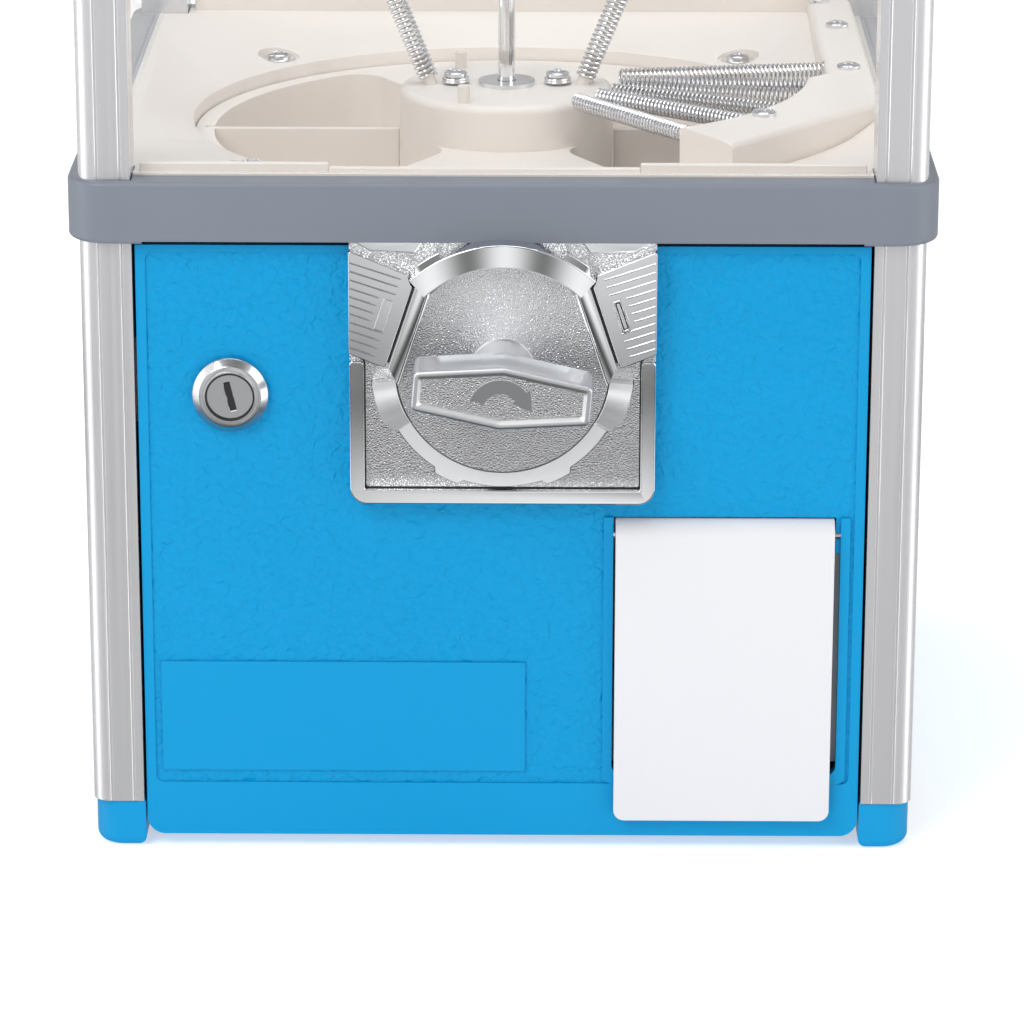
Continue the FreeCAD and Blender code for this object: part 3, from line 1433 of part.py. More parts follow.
def build_coin_mechanism():
    export("mech_faceplate", make_faceplate())
    export("mech_housing", make_mech_housing())
    flange_back = panel_front + mech_flange_thickness
    shank = mech_flange_thickness + plate_thickness - mech_screw_end_gap
    screws = []
    for place in mech_screw_places():
        seat = V(place.x, flange_back, place.z)
        screws.append(pan_screw(seat, V(0, -1, 0), mech_screw_head_radius, screw_head_height,
                                screw_shank_radius, shank))
    export("mech_screws", Part.makeCompound(screws))
    export("handle", make_handle())
    edge_back = disc_front + disc_edge
    disc = cone_along_y(disc_radius - disc_edge, disc_radius, disc_front, edge_back, 0, mech_height)
    rim = rod_along_y(disc_radius, edge_back, disc_back, 0, mech_height)
    bore = rod_along_y(shaft_radius + shaft_gap, disc_front - 1, disc_back + 1, 0, mech_height)
    export("carrier_disc", joined([disc, rim]).cut(bore))
    step = sleeve_back - shaft_step_gap
    shaft = joined([rod_along_y(shaft_radius, shaft_front, step, 0, mech_height),
                    rod_along_y(shaft_tip_radius, step, shaft_end, 0, mech_height)])
    export("drive_shaft", shaft)
    clip = rod_along_y(clip_radius, -gear_face_inner, -gear_face_inner + clip_thickness, 0, mech_height)
    clip_bore = rod_along_y(shaft_tip_radius + shaft_gap, -gear_face_inner - 1, shaft_end, 0, mech_height)
    export("shaft_clip", clip.cut(clip_bore))
    export("ratchet_wheel", make_ratchet())
    export("coin_pawl", make_pawl())
    export("pawl_pin", rod_along_y(pawl_pin_radius, ratchet_front - pawl_pin_proud, drum_back + drum_wall,
                                   pawl_pivot[0], mech_height + pawl_pivot[1]))


# Chute and coin tray

def make_chute():
    """A boxed slide from the outlet to the flap's mouth, whose wall keeps clear of the crown gear."""
    end = panel_back + chute_end_gap
    back = chute_mouth_back
    front = chute_mouth_front
    outside = prism_x([(back, floor_bottom), (back, chute_slope_top), (end, chute_lip), (end, chute_roof),
                       (front, chute_roof), (front, floor_bottom)], chute_left, chute_right)
    slope = (chute_slope_top - chute_lip) / (back - end)
    rise = chute_wall * math.hypot(1, slope)
    top = floor_bottom + 1
    roof = chute_roof - chute_wall
    inner_back = back - chute_wall
    inner_front = front + chute_wall
    slide_top = chute_slope_top + rise - chute_wall * slope
    inside = prism_x([(inner_back, top), (inner_back, slide_top), (end, chute_lip + rise),
                      (end - 1, chute_lip + rise), (end - 1, roof), (inner_front, roof), (inner_front, top)],
                     chute_left + chute_wall, chute_right - chute_wall)
    gear_room = crown_disc_radius + chute_gear_gap
    round_gear = rod_along_z(gear_room, chute_lip, top)
    inner_round = rod_along_z(gear_room + chute_wall, chute_lip, top)
    return outside.cut([round_gear, inside.cut(inner_round)])


def make_tray():
    """An open coin box that stands on the base under the coin exit."""
    bottom = base_top
    box = block(tray_left, tray_right, tray_front, tray_back, bottom, bottom + tray_height)
    box = box.makeFillet(tray_corner_radius, edges_along(box, V(0, 0, 1), lambda p: True))
    inner = block(tray_left + tray_wall, tray_right - tray_wall,
                  tray_front + tray_wall, tray_back - tray_wall,
                  bottom + tray_wall, bottom + tray_height + 1)
    inner = inner.makeFillet(tray_corner_radius - tray_wall, edges_along(inner, V(0, 0, 1), lambda p: True))
    rod_hole = rod_along_z(nut_radius + tray_rod_gap, bottom - 1, bottom + tray_height + 1)
    post = rod_along_z(nut_radius + tray_rod_gap + tray_rod_wall, bottom, bottom + tray_height)
    return joined([box.cut(inner), post]).cut(rod_hole).removeSplitter()


# Top frame and lid

def make_top_frame():
    """A square frame on the posts, with a skirt round them and a wide filling hole."""
    frame = square_slab(half_width, frame_corner_radius, top_frame_bottom, top_frame_top)
    frame = frame.makeFillet(frame_edge_radius, end_edges(frame, top_frame_bottom, top_frame_top))
    skirt = square_slab(belt_skirt_inner, frame_corner_radius - belt_wall, top_frame_bottom - 1, post_top)
    fill = square_slab(fill_half, fill_corner_radius, top_frame_bottom - 1, top_frame_top + 1)
    place = post_bore_at
    holes = at_corners(rod_along_z(post_bore_radius, post_top - 1, top_frame_top + 1, place, place))
    sinks = at_corners(rod_along_z(top_screw_head_radius + foot_spigot_gap, top_frame_top - top_screw_sink,
                                   top_frame_top + 1, place, place))
    posts = post_clearance(top_frame_bottom - 1, post_top, post_gap)
    return frame.cut([skirt, fill] + holes + sinks + posts)


def make_lid():
    """A low hipped lid with a lip that drops into the filling hole."""
    edge = half_width - lid_edge_inset
    shoulder = top_frame_top + lid_skirt
    skirt = square_slab(edge, frame_corner_radius, top_frame_top, shoulder)
    roof = square_loft(edge, frame_corner_radius, shoulder, lid_top_half, lid_top_radius, lid_top)
    inner_edge = edge - lid_wall
    inner_radius = frame_corner_radius - lid_wall
    hollow = square_slab(inner_edge, inner_radius, top_frame_top - 1, shoulder)
    hollow_roof = square_loft(inner_edge, inner_radius, shoulder,
                              lid_top_half - lid_wall, lid_top_radius - lid_wall, lid_top - lid_wall)
    shell = joined([skirt, roof]).cut([hollow, hollow_roof])
    lip_half = fill_half - lid_lip_gap
    lip_radius = fill_corner_radius - lid_lip_gap
    lip_bottom = top_frame_top - lid_lip_height
    lip = square_slab(lip_half, lip_radius, lip_bottom, lid_top - 1)
    lip = lip.cut(square_slab(lip_half - lid_wall, lip_radius - lid_wall, lip_bottom - 1, lid_top))
    below = block(-edge, edge, -edge, edge, lip_bottom - 1, top_frame_top)
    lip = lip.common(joined([hollow, hollow_roof, below]))
    hole = rod_along_z(lid_lock_radius + lid_hole_gap, lid_top - lid_lock_length, lid_top + 1)
    return joined([shell, lip]).cut(hole)


def build_top_group():
    export("top_frame", make_top_frame())
    seat = V(post_bore_at, post_bore_at, top_frame_top - top_screw_sink)
    screw = pan_screw(seat, V(0, 0, -1), top_screw_head_radius, top_screw_head_height,
                      post_bore_radius - foot_spigot_gap, top_screw_length)
    export("post_screws", Part.makeCompound(at_corners(screw)))
    export("lid", make_lid())
    bezel = Part.makeCone(lid_lock_bezel_radius, lid_lock_bezel_land, lid_lock_bezel_height, V(0, 0, lid_top))
    lock_bottom = lid_top - lid_lock_length
    body = rod_along_z(lid_lock_radius, lock_bottom, lid_top)
    neck_top = overall_height - lid_plug_head
    bores = [rod_along_z(lid_plug_radius + lock_running_gap, neck_top, overall_height + 1),
             rod_along_z(lid_plug_neck_radius + lock_running_gap, lock_bottom - 1, neck_top + 1)]
    export("lid_lock_barrel", joined([bezel, body]).cut(bores))
    head_bottom = neck_top + lid_hole_gap
    plug_top = overall_height - plug_recess
    plug = joined([rod_along_z(lid_plug_radius, head_bottom, plug_top),
                   rod_along_z(lid_plug_neck_radius, lock_bottom, head_bottom)])
    slot = block(-key_slot_length / 2, key_slot_length / 2, -key_slot_width / 2, key_slot_width / 2,
                 plug_top - key_slot_depth, overall_height + 1)
    socket = rod_along_z(rod_radius + rod_gap, lock_bottom - 1, rod_top + 1)
    export("lid_lock_plug", plug.cut([slot, socket]))


os.makedirs("parts", exist_ok=True)
build_posts()
build_sheets()
build_bowl_group()
build_wheel_group()
build_rod()
build_panel_group()
build_panel_lock()
build_coin_mechanism()
export("outlet_chute", make_chute())
export("coin_tray", make_tray())
build_top_group()
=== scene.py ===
import json
import math
from functools import partial

import bmesh
import bpy
import numpy as np
from mathutils import Matrix, Vector


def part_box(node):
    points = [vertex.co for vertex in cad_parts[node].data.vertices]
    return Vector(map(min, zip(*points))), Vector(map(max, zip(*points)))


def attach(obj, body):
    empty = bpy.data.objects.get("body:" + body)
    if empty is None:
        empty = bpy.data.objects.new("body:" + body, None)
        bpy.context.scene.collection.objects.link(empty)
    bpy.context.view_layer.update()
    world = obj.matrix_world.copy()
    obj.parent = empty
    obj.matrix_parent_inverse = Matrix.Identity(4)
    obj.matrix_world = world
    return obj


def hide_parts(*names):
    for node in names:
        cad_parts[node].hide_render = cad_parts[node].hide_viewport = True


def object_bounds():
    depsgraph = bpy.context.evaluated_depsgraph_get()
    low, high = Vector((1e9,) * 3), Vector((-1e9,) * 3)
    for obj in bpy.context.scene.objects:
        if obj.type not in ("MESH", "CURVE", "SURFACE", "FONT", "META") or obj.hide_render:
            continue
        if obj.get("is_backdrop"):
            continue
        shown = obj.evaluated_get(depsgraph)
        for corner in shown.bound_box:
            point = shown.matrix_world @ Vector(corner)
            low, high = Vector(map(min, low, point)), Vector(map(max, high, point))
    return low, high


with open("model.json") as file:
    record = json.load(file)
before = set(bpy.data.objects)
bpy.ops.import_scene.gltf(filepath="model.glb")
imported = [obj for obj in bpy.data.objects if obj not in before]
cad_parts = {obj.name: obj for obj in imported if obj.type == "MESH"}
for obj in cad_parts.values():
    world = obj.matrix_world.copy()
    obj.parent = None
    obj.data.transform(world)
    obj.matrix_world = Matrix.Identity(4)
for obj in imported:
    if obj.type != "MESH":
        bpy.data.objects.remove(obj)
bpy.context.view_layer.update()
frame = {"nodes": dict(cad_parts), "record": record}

# Lengths below are millimetres; MM turns them into the frame's metres.
MM = 0.001
record = frame["record"]
body_of = {node: body for body, members in record["behaviour"]["bodies"].items() for node in members}


def corners(node):
    """Lowest and highest corner of a CAD node, in millimetres."""
    low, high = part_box(node)
    return np.array(low) / MM, np.array(high) / MM


# Depths of the front panel's face and of its sunk field; heights of the handle's axis and the wheel's hub
PANEL_FACE = -113.5
FIELD_SINK = 0.5
FIELD_FACE = PANEL_FACE + FIELD_SINK
MECH_Z = float(sum(corner[2] for corner in corners("carrier_disc")) / 2)
HUB_TOP = 193.0


# Mesh building

# Angles in degrees past which an edge is shaded sharp
CREASE = 35.0
HOLED_CREASE = 18.0
DRESSED_CREASE = 30.0
# Distances in metres within which points are merged, and the angle in degrees within which CAD faces are
POINT_MERGE = 1e-7
CAD_MERGE = 2e-6
CAD_FLAT_ANGLE = 0.6
# Least radius of a block's corner, points round a hole, and points of the finer outline they are read from
LEAST_ROUND = 0.05
SPOKES = 240
FINE_POINTS = 4000


def mesh_object(name, points, faces, crease=CREASE):
    """A mesh object at the origin from points in millimetres and faces as index lists."""
    mesh = bpy.data.meshes.new(name)
    mesh.from_pydata((np.asarray(points, float) * MM).tolist(), [], [list(face) for face in faces])
    shape = bmesh.new()
    shape.from_mesh(mesh)
    bmesh.ops.remove_doubles(shape, verts=shape.verts, dist=POINT_MERGE)
    bmesh.ops.recalc_face_normals(shape, faces=shape.faces)
    shape.to_mesh(mesh)
    shape.free()
    mesh.shade_smooth()
    mesh.set_sharp_from_angle(angle=math.radians(crease))
    piece = bpy.data.objects.new(name, mesh)
    bpy.context.scene.collection.objects.link(piece)
    flats = piece.modifiers.new("flat faces stay flat", "WEIGHTED_NORMAL")
    flats.keep_sharp = True
    flats.weight = 100
    return piece


def grid_faces(rows, columns, start=0):
    """Quads that join the neighbours of a grid of points whose rows are closed, as one index array."""
    row, column = np.meshgrid(np.arange(rows - 1), np.arange(columns), indexing="ij")
    below = row + 1
    beside = (column + 1) % columns
    quads = np.stack([row * columns + column, row * columns + beside,
                      below * columns + beside, below * columns + column], axis=-1)
    return quads.reshape(-1, 4) + start


def surface(name, points, caps=True, crease=CREASE):
    """A surface through a grid of points whose rows are closed; flat caps can close its two ends."""
    rows, columns = points.shape[:2]
    faces = grid_faces(rows, columns).tolist()
    if caps:
        faces.append(list(range(columns)))
        faces.append(list(range((rows - 1) * columns, rows * columns)))
    return mesh_object(name, points.reshape(-1, 3), faces, crease)


def axis_frame(axis):
    """Two unit vectors across an axis, and the axis itself."""
    axis = np.asarray(axis, float)
    axis = axis / np.linalg.norm(axis)
    helper = np.array([0.0, 1.0, 0.0]) if abs(axis[1]) < 0.9 else np.array([1.0, 0.0, 0.0])
    across = np.cross(helper, axis)
    across = across / np.linalg.norm(across)
    return across, np.cross(axis, across), axis


def turned_piece(name, profile, centre, axis, sides, crease=CREASE, caps=True):
    """A lathe surface: each (radius, height) of the profile carried round the axis."""
    across, other, axis = axis_frame(axis)
    profile = np.asarray(profile, float)
    angle = np.linspace(0, 2 * np.pi, sides, endpoint=False)
    ring = np.cos(angle)[:, None] * across + np.sin(angle)[:, None] * other
    points = (np.asarray(centre, float) + profile[:, None, :1] * ring[None]
              + profile[:, None, 1:] * axis)
    return surface(name, points, caps=caps, crease=crease)


def rounded_outline(points, radius, steps=6):
    """A closed outline whose every corner is an arc, of one radius or of a radius per corner."""
    points = np.asarray(points, float)
    radius = np.broadcast_to(np.asarray(radius, float), len(points))
    out = []
    for index, corner in enumerate(points):
        before = points[index - 1] - corner
        after = points[(index + 1) % len(points)] - corner
        before = before / np.linalg.norm(before)
        after = after / np.linalg.norm(after)
        half = math.acos(np.clip(before @ after, -1, 1)) / 2
        if radius[index] < 1e-6 or half > math.pi / 2 - 1e-3:
            out.append(corner[None])
            continue
        middle = (before + after) / np.linalg.norm(before + after)
        centre = corner + middle * radius[index] / math.sin(half)
        first = corner + before * radius[index] / math.tan(half) - centre
        last = corner + after * radius[index] / math.tan(half) - centre
        turn = math.atan2(first[0] * last[1] - first[1] * last[0], first @ last)
        angle = np.linspace(0, turn, steps + 1)
        arc = np.stack([first[0] * np.cos(angle) - first[1] * np.sin(angle),
                        first[0] * np.sin(angle) + first[1] * np.cos(angle)], axis=1)
        out.append(centre + arc)
    return np.concatenate(out)


def inset(outline, distance):
    """The outline moved inwards by a small distance along its corner normals."""
    step = np.roll(outline, -1, axis=0) - outline
    step = step / np.maximum(np.linalg.norm(step, axis=1, keepdims=True), 1e-9)
    mean = step + np.roll(step, 1, axis=0)
    mean = mean / np.maximum(np.linalg.norm(mean, axis=1, keepdims=True), 1e-9)
    area = np.sum(outline[:, 0] * np.roll(outline[:, 1], -1) - outline[:, 1] * np.roll(outline[:, 0], -1))
    normal = np.stack([-mean[:, 1], mean[:, 0]], axis=1) * np.sign(area)
    return outline + normal * distance


def mitred(points, distance):
    """A polygon moved inwards by a distance, with its corners kept sharp."""
    points = np.asarray(points, float)
    step = np.roll(points, -1, axis=0) - points
    step = step / np.linalg.norm(step, axis=1, keepdims=True)
    area = np.sum(points[:, 0] * np.roll(points[:, 1], -1) - points[:, 1] * np.roll(points[:, 0], -1))
    normal = np.stack([-step[:, 1], step[:, 0]], axis=1) * np.sign(area)
    before = np.roll(normal, 1, axis=0)
    shared = 1 + np.sum(normal * before, axis=1, keepdims=True)
    return points + distance * (normal + before) / shared


def resampled(outline, count):
    """A closed outline as evenly spaced points, from its first point on."""
    closed = np.concatenate([outline, outline[:1]])
    run = np.concatenate([[0.0], np.cumsum(np.linalg.norm(np.diff(closed, axis=0), axis=1))])
    at = np.linspace(0, run[-1], count, endpoint=False)
    return np.column_stack([np.interp(at, run, closed[:, axis]) for axis in (0, 1)])


def at_depth(outline, depth):
    """An (x, z) outline as points at one depth."""
    return np.column_stack([outline[:, 0], np.full(len(outline), depth), outline[:, 1]])


def quarter_round(edge, steps=4):
    """Side and rise of a rounded edge: edge (1 - cos t) and edge (1 - sin t), with t up to a right angle."""
    turn = np.linspace(0, np.pi / 2, steps + 1)
    return edge * (1 - np.cos(turn)), edge * (1 - np.sin(turn))


def soft_edge(back, front, edge):
    """(inset, depth) pairs of a block's wall whose front rim is a quarter round."""
    side, rise = quarter_round(edge)
    return np.concatenate([[[0.0, back]], np.column_stack([side, front + rise])])


def post_prism(name, outline, low, high, edge):
    """An (x, y) outline carried up from low to high, with both rims rounded by a small edge."""
    lift, drop = quarter_round(edge, 3)
    heights = np.concatenate([low + lift, high - lift[::-1]])
    insets = np.concatenate([drop, drop[::-1]])
    rings = [np.column_stack([inset(outline, distance), np.full(len(outline), height)])
             for height, distance in zip(heights, insets)]
    return surface(name, np.array(rings))


def cast_block(name, corners_xz, radius, back, front, edge):
    """A polygon with round corners carried from back to front, whose front rim is a quarter round."""
    rings = []
    for distance, depth in soft_edge(back, front, edge):
        outline = rounded_outline(mitred(corners_xz, distance), np.maximum(radius - distance, LEAST_ROUND))
        rings.append(at_depth(outline, depth))
    return surface(name, np.array(rings))


def holed_block(name, outline, hole, back, front, edge, floor):
    """Rings about the hole's middle: up the outer wall, over the front and down the hole to its floor."""
    middle = hole.mean(axis=0)
    angle = np.linspace(-np.pi, np.pi, SPOKES, endpoint=False)

    def reach(shape):
        """Distance from the middle to an outline in each direction."""
        fine = resampled(shape, FINE_POINTS) - middle
        turn = np.arctan2(fine[:, 1], fine[:, 0])
        order = np.argsort(turn)
        return np.interp(angle, turn[order], np.hypot(fine[:, 0], fine[:, 1])[order], period=2 * np.pi)

    outer = reach(outline)
    inner = reach(hole)
    spoke = np.column_stack([np.cos(angle), np.sin(angle)])
    rows = [(outer - distance, depth) for distance, depth in soft_edge(back, front, edge)]
    rows += [(inner + distance, depth) for distance, depth in soft_edge(floor, front, edge)[::-1]]
    rings = [at_depth(middle + spoke * radius[:, None], depth) for radius, depth in rows]
    return surface(name, np.array(rings), crease=HOLED_CREASE)


def arc_band(name, angles, inner, outer, back, front_inner, front_outer, edge):
    """A band about the handle's axis: at each angle a section from the inner radius to the outer one, with
    both front rims rounded and the front face leaning from one depth to the other."""
    angles, inner, outer, front_inner, front_outer = np.broadcast_arrays(
        np.radians(np.asarray(angles, float)), inner, outer, front_inner, front_outer)
    side, rise = quarter_round(edge)
    radius = np.column_stack([inner, inner[:, None] + side, outer[:, None] - side[::-1], outer])
    depth = np.column_stack([np.full(len(angles), back), front_inner[:, None] + rise,
                             front_outer[:, None] + rise[::-1], np.full(len(angles), back)])
    points = np.stack([radius * np.cos(angles)[:, None], depth,
                       MECH_Z + radius * np.sin(angles)[:, None]], axis=-1)
    return surface(name, points)


def eased(value, start, end):
    """Zero before start, one after end and an even S-curve between them."""
    share = np.clip((np.asarray(value, float) - start) / (end - start), 0, 1)
    return share * share * (3 - 2 * share)


def coil(foot, axis, length, coil_radius, wire_radius, curls, steps=18, sides=8):
    """A wire wound about an axis: point(t, a) = helix(t) + wire radius (cos a outwards + sin a along)."""
    across, other, axis = axis_frame(axis)
    turn_radius = coil_radius - wire_radius
    turns = np.linspace(0, curls, curls * steps + 1)
    angle = 2 * np.pi * turns
    outwards = np.cos(angle)[:, None] * across + np.sin(angle)[:, None] * other
    along = -np.sin(angle)[:, None] * across + np.cos(angle)[:, None] * other
    climb = (length - 2 * wire_radius) / curls
    middle = np.asarray(foot) + outwards * turn_radius + axis * (wire_radius + climb * turns)[:, None]
    tangent = along * (2 * np.pi * turn_radius) + axis * climb
    tangent = tangent / np.linalg.norm(tangent, axis=1, keepdims=True)
    upright = np.cross(tangent, outwards)
    section = np.linspace(0, 2 * np.pi, sides, endpoint=False)
    return (middle[:, None] + wire_radius * (np.cos(section)[None, :, None] * outwards[:, None]
                                             + np.sin(section)[None, :, None] * upright[:, None]))


def merged(name, grids, crease=CREASE):
    """Several closed tubes or discs of points as one mesh."""
    points = []
    faces = []
    start = 0
    for grid in grids:
        rows, columns = grid.shape[:2]
        points.append(grid.reshape(-1, 3))
        faces += grid_faces(rows, columns, start).tolist()
        faces.append(list(range(start, start + columns)))
        faces.append(list(range(start + (rows - 1) * columns, start + rows * columns)))
        start += rows * columns
    return mesh_object(name, np.concatenate(points), faces, crease)


def dressed(node, edge, crease=DRESSED_CREASE, segments=2, lift=0.0, end_angle=None):
    """A merged copy of a CAD node's mesh whose sharp edges are rounded by a bevel. The copy can sit a little
    higher or lower, and can end at an upright plane through the tie rod, at an angle from the right."""
    mesh = frame["nodes"][node].data.copy()
    mesh.name = node + "_shell"
    mesh.materials.clear()
    shape = bmesh.new()
    shape.from_mesh(mesh)
    bmesh.ops.remove_doubles(shape, verts=shape.verts, dist=CAD_MERGE)
    flat = math.radians(CAD_FLAT_ANGLE)
    bmesh.ops.dissolve_limit(shape, angle_limit=flat, verts=shape.verts, edges=shape.edges)
    bmesh.ops.translate(shape, verts=shape.verts, vec=(0.0, 0.0, lift * MM))
    if end_angle is not None:
        turn = math.radians(end_angle)
        whole = shape.verts[:] + shape.edges[:] + shape.faces[:]
        cut = bmesh.ops.bisect_plane(shape, geom=whole, plane_co=(0, 0, 0), clear_outer=True,
                                     plane_no=(math.sin(turn), -math.cos(turn), 0.0))["geom_cut"]
        bmesh.ops.holes_fill(shape, edges=[part for part in cut if isinstance(part, bmesh.types.BMEdge)])
        bmesh.ops.recalc_face_normals(shape, faces=shape.faces)
    shape.to_mesh(mesh)
    shape.free()
    mesh.shade_smooth()
    mesh.set_sharp_from_angle(angle=math.radians(crease))
    piece = bpy.data.objects.new(node + "_shell", mesh)
    bpy.context.scene.collection.objects.link(piece)
    bevel = piece.modifiers.new("rounded edges", "BEVEL")
    bevel.width = edge * MM
    bevel.segments = segments
    bevel.limit_method = "ANGLE"
    bevel.angle_limit = math.radians(crease)
    bevel.harden_normals = True
    return piece


def place(piece, finish, *nodes):
    """Give a piece its finish, let it ride on its body and stand for its CAD nodes."""
    piece.data.materials.clear()
    piece.data.materials.append(finish)
    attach(piece, body_of[nodes[0]])
    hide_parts(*nodes)
    return piece


def coat(finish, *nodes):
    """Give CAD nodes that stay in view their finish."""
    for node in nodes:
        materials = frame["nodes"][node].data.materials
        materials.clear()
        materials.append(finish)


# Material building

# The low and high values that a noise usually reaches
NOISE_LOW = 0.3
NOISE_HIGH = 0.7


def math_node(tree, operation, first, second=0.0):
    """The output of a math node whose inputs are numbers or the outputs of other nodes."""
    node = tree.nodes.new("ShaderNodeMath")
    node.operation = operation
    for socket, value in zip(node.inputs, (first, second)):
        if isinstance(value, (int, float)):
            socket.default_value = value
        else:
            tree.links.new(value, socket)
    return node.outputs[0]


class Finish:
    """A material's node tree with short ways to add the nodes that the finishes below use."""

    def __init__(self, name):
        self.material = bpy.data.materials.new(name)
        self.material.use_nodes = True
        self.tree = self.material.node_tree
        self.shader = self.tree.nodes["Principled BSDF"]
        self.coordinates = self.tree.nodes.new("ShaderNodeTexCoord").outputs["Object"]

    def set(self, socket, value):
        """Set one of the shader's own sockets."""
        self.shader.inputs[socket].default_value = value

    def link(self, source, target):
        """Join one node's output to another's input."""
        self.tree.links.new(source, target)

    def math(self, operation, first, second=0.0):
        """The output of a math node."""
        return math_node(self.tree, operation, first, second)

    def stretched(self, scale):
        """The object's coordinates scaled along each axis."""
        node = self.tree.nodes.new("ShaderNodeMapping")
        node.inputs["Scale"].default_value = scale
        self.link(self.coordinates, node.inputs["Vector"])
        return node.outputs["Vector"]

    def noise(self, scale, detail=2.0, distortion=0.0, vector=None):
        """A noise on the object's coordinates."""
        node = self.tree.nodes.new("ShaderNodeTexNoise")
        node.inputs["Scale"].default_value = scale
        node.inputs["Detail"].default_value = detail
        node.inputs["Distortion"].default_value = distortion
        self.link(vector or self.coordinates, node.inputs["Vector"])
        return node.outputs["Fac"]

    def ramp(self, value, low, high, out_low, out_high):
        """A value carried from one range to another."""
        node = self.tree.nodes.new("ShaderNodeMapRange")
        node.inputs["From Min"].default_value = low
        node.inputs["From Max"].default_value = high
        node.inputs["To Min"].default_value = out_low
        node.inputs["To Max"].default_value = out_high
        self.link(value, node.inputs["Value"])
        return node.outputs["Result"]

    def colour(self, value, first, second):
        """Let the base colour go from one colour to another with a value."""
        node = self.tree.nodes.new("ShaderNodeMix")
        node.data_type = "RGBA"
        node.inputs["A"].default_value = (*first, 1.0)
        node.inputs["B"].default_value = (*second, 1.0)
        self.link(value, node.inputs["Factor"])
        self.link(node.outputs["Result"], self.shader.inputs["Base Color"])

    def roughness(self, value, smooth, rough):
        """Let the roughness follow a noise."""
        self.link(self.ramp(value, NOISE_LOW, NOISE_HIGH, smooth, rough), self.shader.inputs["Roughness"])

    def bump(self, height, strength, distance):
        """A bump from a height, whose distance is in millimetres."""
        node = self.tree.nodes.new("ShaderNodeBump")
        node.inputs["Strength"].default_value = strength
        node.inputs["Distance"].default_value = distance * MM
        self.link(height, node.inputs["Height"])
        self.link(node.outputs["Normal"], self.shader.inputs["Normal"])


def linear(screen):
    """A screen colour of 0 to 255 as linear light."""
    share = np.array(screen) / 255.0
    light = np.where(share <= 0.04045, share / 12.92, ((share + 0.055) / 1.055) ** 2.4)
    return tuple(float(value) for value in light)


def shaded(colour, share):
    """A linear colour at a share of its brightness."""
    return tuple(value * share for value in colour)


PAINT_DARK = (0, 146, 203)
PAINT_LIGHT = (3, 152, 209)
FLAP_DARK = (220, 220, 224)
FLAP_LIGHT = (225, 225, 228)
# Distances from the panel's sunk field between which its orange peel fades out, and the share of fine peel
FIELD_NEAR = 0.1
FIELD_AWAY = 0.25
FINE_PEEL = 0.05
# How much of a clear sheet shows by its haze and at a low angle
HAZE_COVER = 0.01
EDGE_COVER = 0.3


def textured_paint():
    """Blue powder coat: an orange-peel skin on the panel's sunk field, smooth on its border and pad."""
    finish = Finish("blue_powder_coat")
    split = finish.tree.nodes.new("ShaderNodeSeparateXYZ")
    finish.link(finish.coordinates, split.inputs["Vector"])
    away = finish.math("ABSOLUTE", finish.math("SUBTRACT", split.outputs["Y"], FIELD_FACE * MM))
    field = finish.ramp(away, FIELD_NEAR * MM, FIELD_AWAY * MM, 1.0, 0.0)
    worms = finish.noise(scale=420.0, detail=1.0, distortion=0.6)
    fine = finish.math("MULTIPLY", finish.noise(scale=1500.0), FINE_PEEL)
    peel = finish.math("ADD", finish.ramp(worms, low=0.25, high=0.75, out_low=0.0, out_high=1.0), fine)
    finish.bump(finish.math("MULTIPLY", peel, field), strength=1.0, distance=0.5)
    finish.colour(finish.noise(scale=9.0, detail=3.0), linear(PAINT_DARK), linear(PAINT_LIGHT))
    finish.roughness(worms, smooth=0.30, rough=0.40)
    finish.set("Specular IOR Level", 0.18)
    return finish.material


def moulded_plastic(name, dark, light, rough, grain=1400.0, depth=0.02, soft=0.0, shine=0.5):
    """Moulded plastic with a faint cloud in its colour, uneven gloss and a fine grain."""
    finish = Finish(name)
    finish.colour(finish.noise(scale=14.0, detail=3.0), linear(dark), linear(light))
    finish.roughness(finish.noise(scale=60.0), rough - 0.05, rough + 0.05)
    finish.bump(finish.noise(grain), strength=0.15, distance=depth)
    finish.set("Specular IOR Level", shine)
    if soft > 0:
        finish.set("Subsurface Weight", soft)
        finish.set("Subsurface Radius", (1.0, 0.9, 0.8))
        finish.set("Subsurface Scale", 2.0 * MM)
    return finish.material


def drawn_metal(name, screen, rough, stretch, lines, depth=0.01, metallic=1.0):
    """Metal with fine drawn lines along one direction; a lower metallic value looks whiter, as anodised."""
    finish = Finish(name)
    finish.set("Metallic", metallic)
    streak = finish.noise(scale=1.0, detail=3.0, vector=finish.stretched(stretch))
    finish.colour(streak, shaded(linear(screen), 0.97), linear(screen))
    finish.roughness(streak, rough - 0.05, rough + 0.06)
    finish.bump(streak, lines, depth)
    return finish.material


def plated_metal(name, screen, rough, strength, grain=900.0, depth=0.01, metallic=1.0):
    """Chrome plating with faint smears over a casting whose grain is a fine bump."""
    finish = Finish(name)
    finish.set("Metallic", metallic)
    smear = finish.noise(scale=45.0, detail=4.0)
    finish.colour(smear, shaded(linear(screen), 0.93), linear(screen))
    finish.roughness(smear, rough * 0.9, rough * 1.2)
    finish.bump(finish.noise(grain, detail=1.0), strength, depth)
    return finish.material


def clear_sheet():
    """Clear acrylic: almost unseen face on, glossier at a low angle, with faint haze."""
    finish = Finish("clear_acrylic")
    weight = finish.tree.nodes.new("ShaderNodeLayerWeight")
    weight.inputs["Blend"].default_value = 0.25
    haze = finish.noise(scale=20.0, detail=3.0)
    cover = finish.math("ADD", finish.ramp(weight.outputs["Fresnel"], 0.0, 1.0, 0.0, EDGE_COVER),
                        finish.math("MULTIPLY", haze, HAZE_COVER))
    finish.link(cover, finish.shader.inputs["Alpha"])
    finish.roughness(haze, smooth=0.03, rough=0.06)
    finish.set("Base Color", (0.9, 0.93, 0.95, 1.0))
    return finish.material


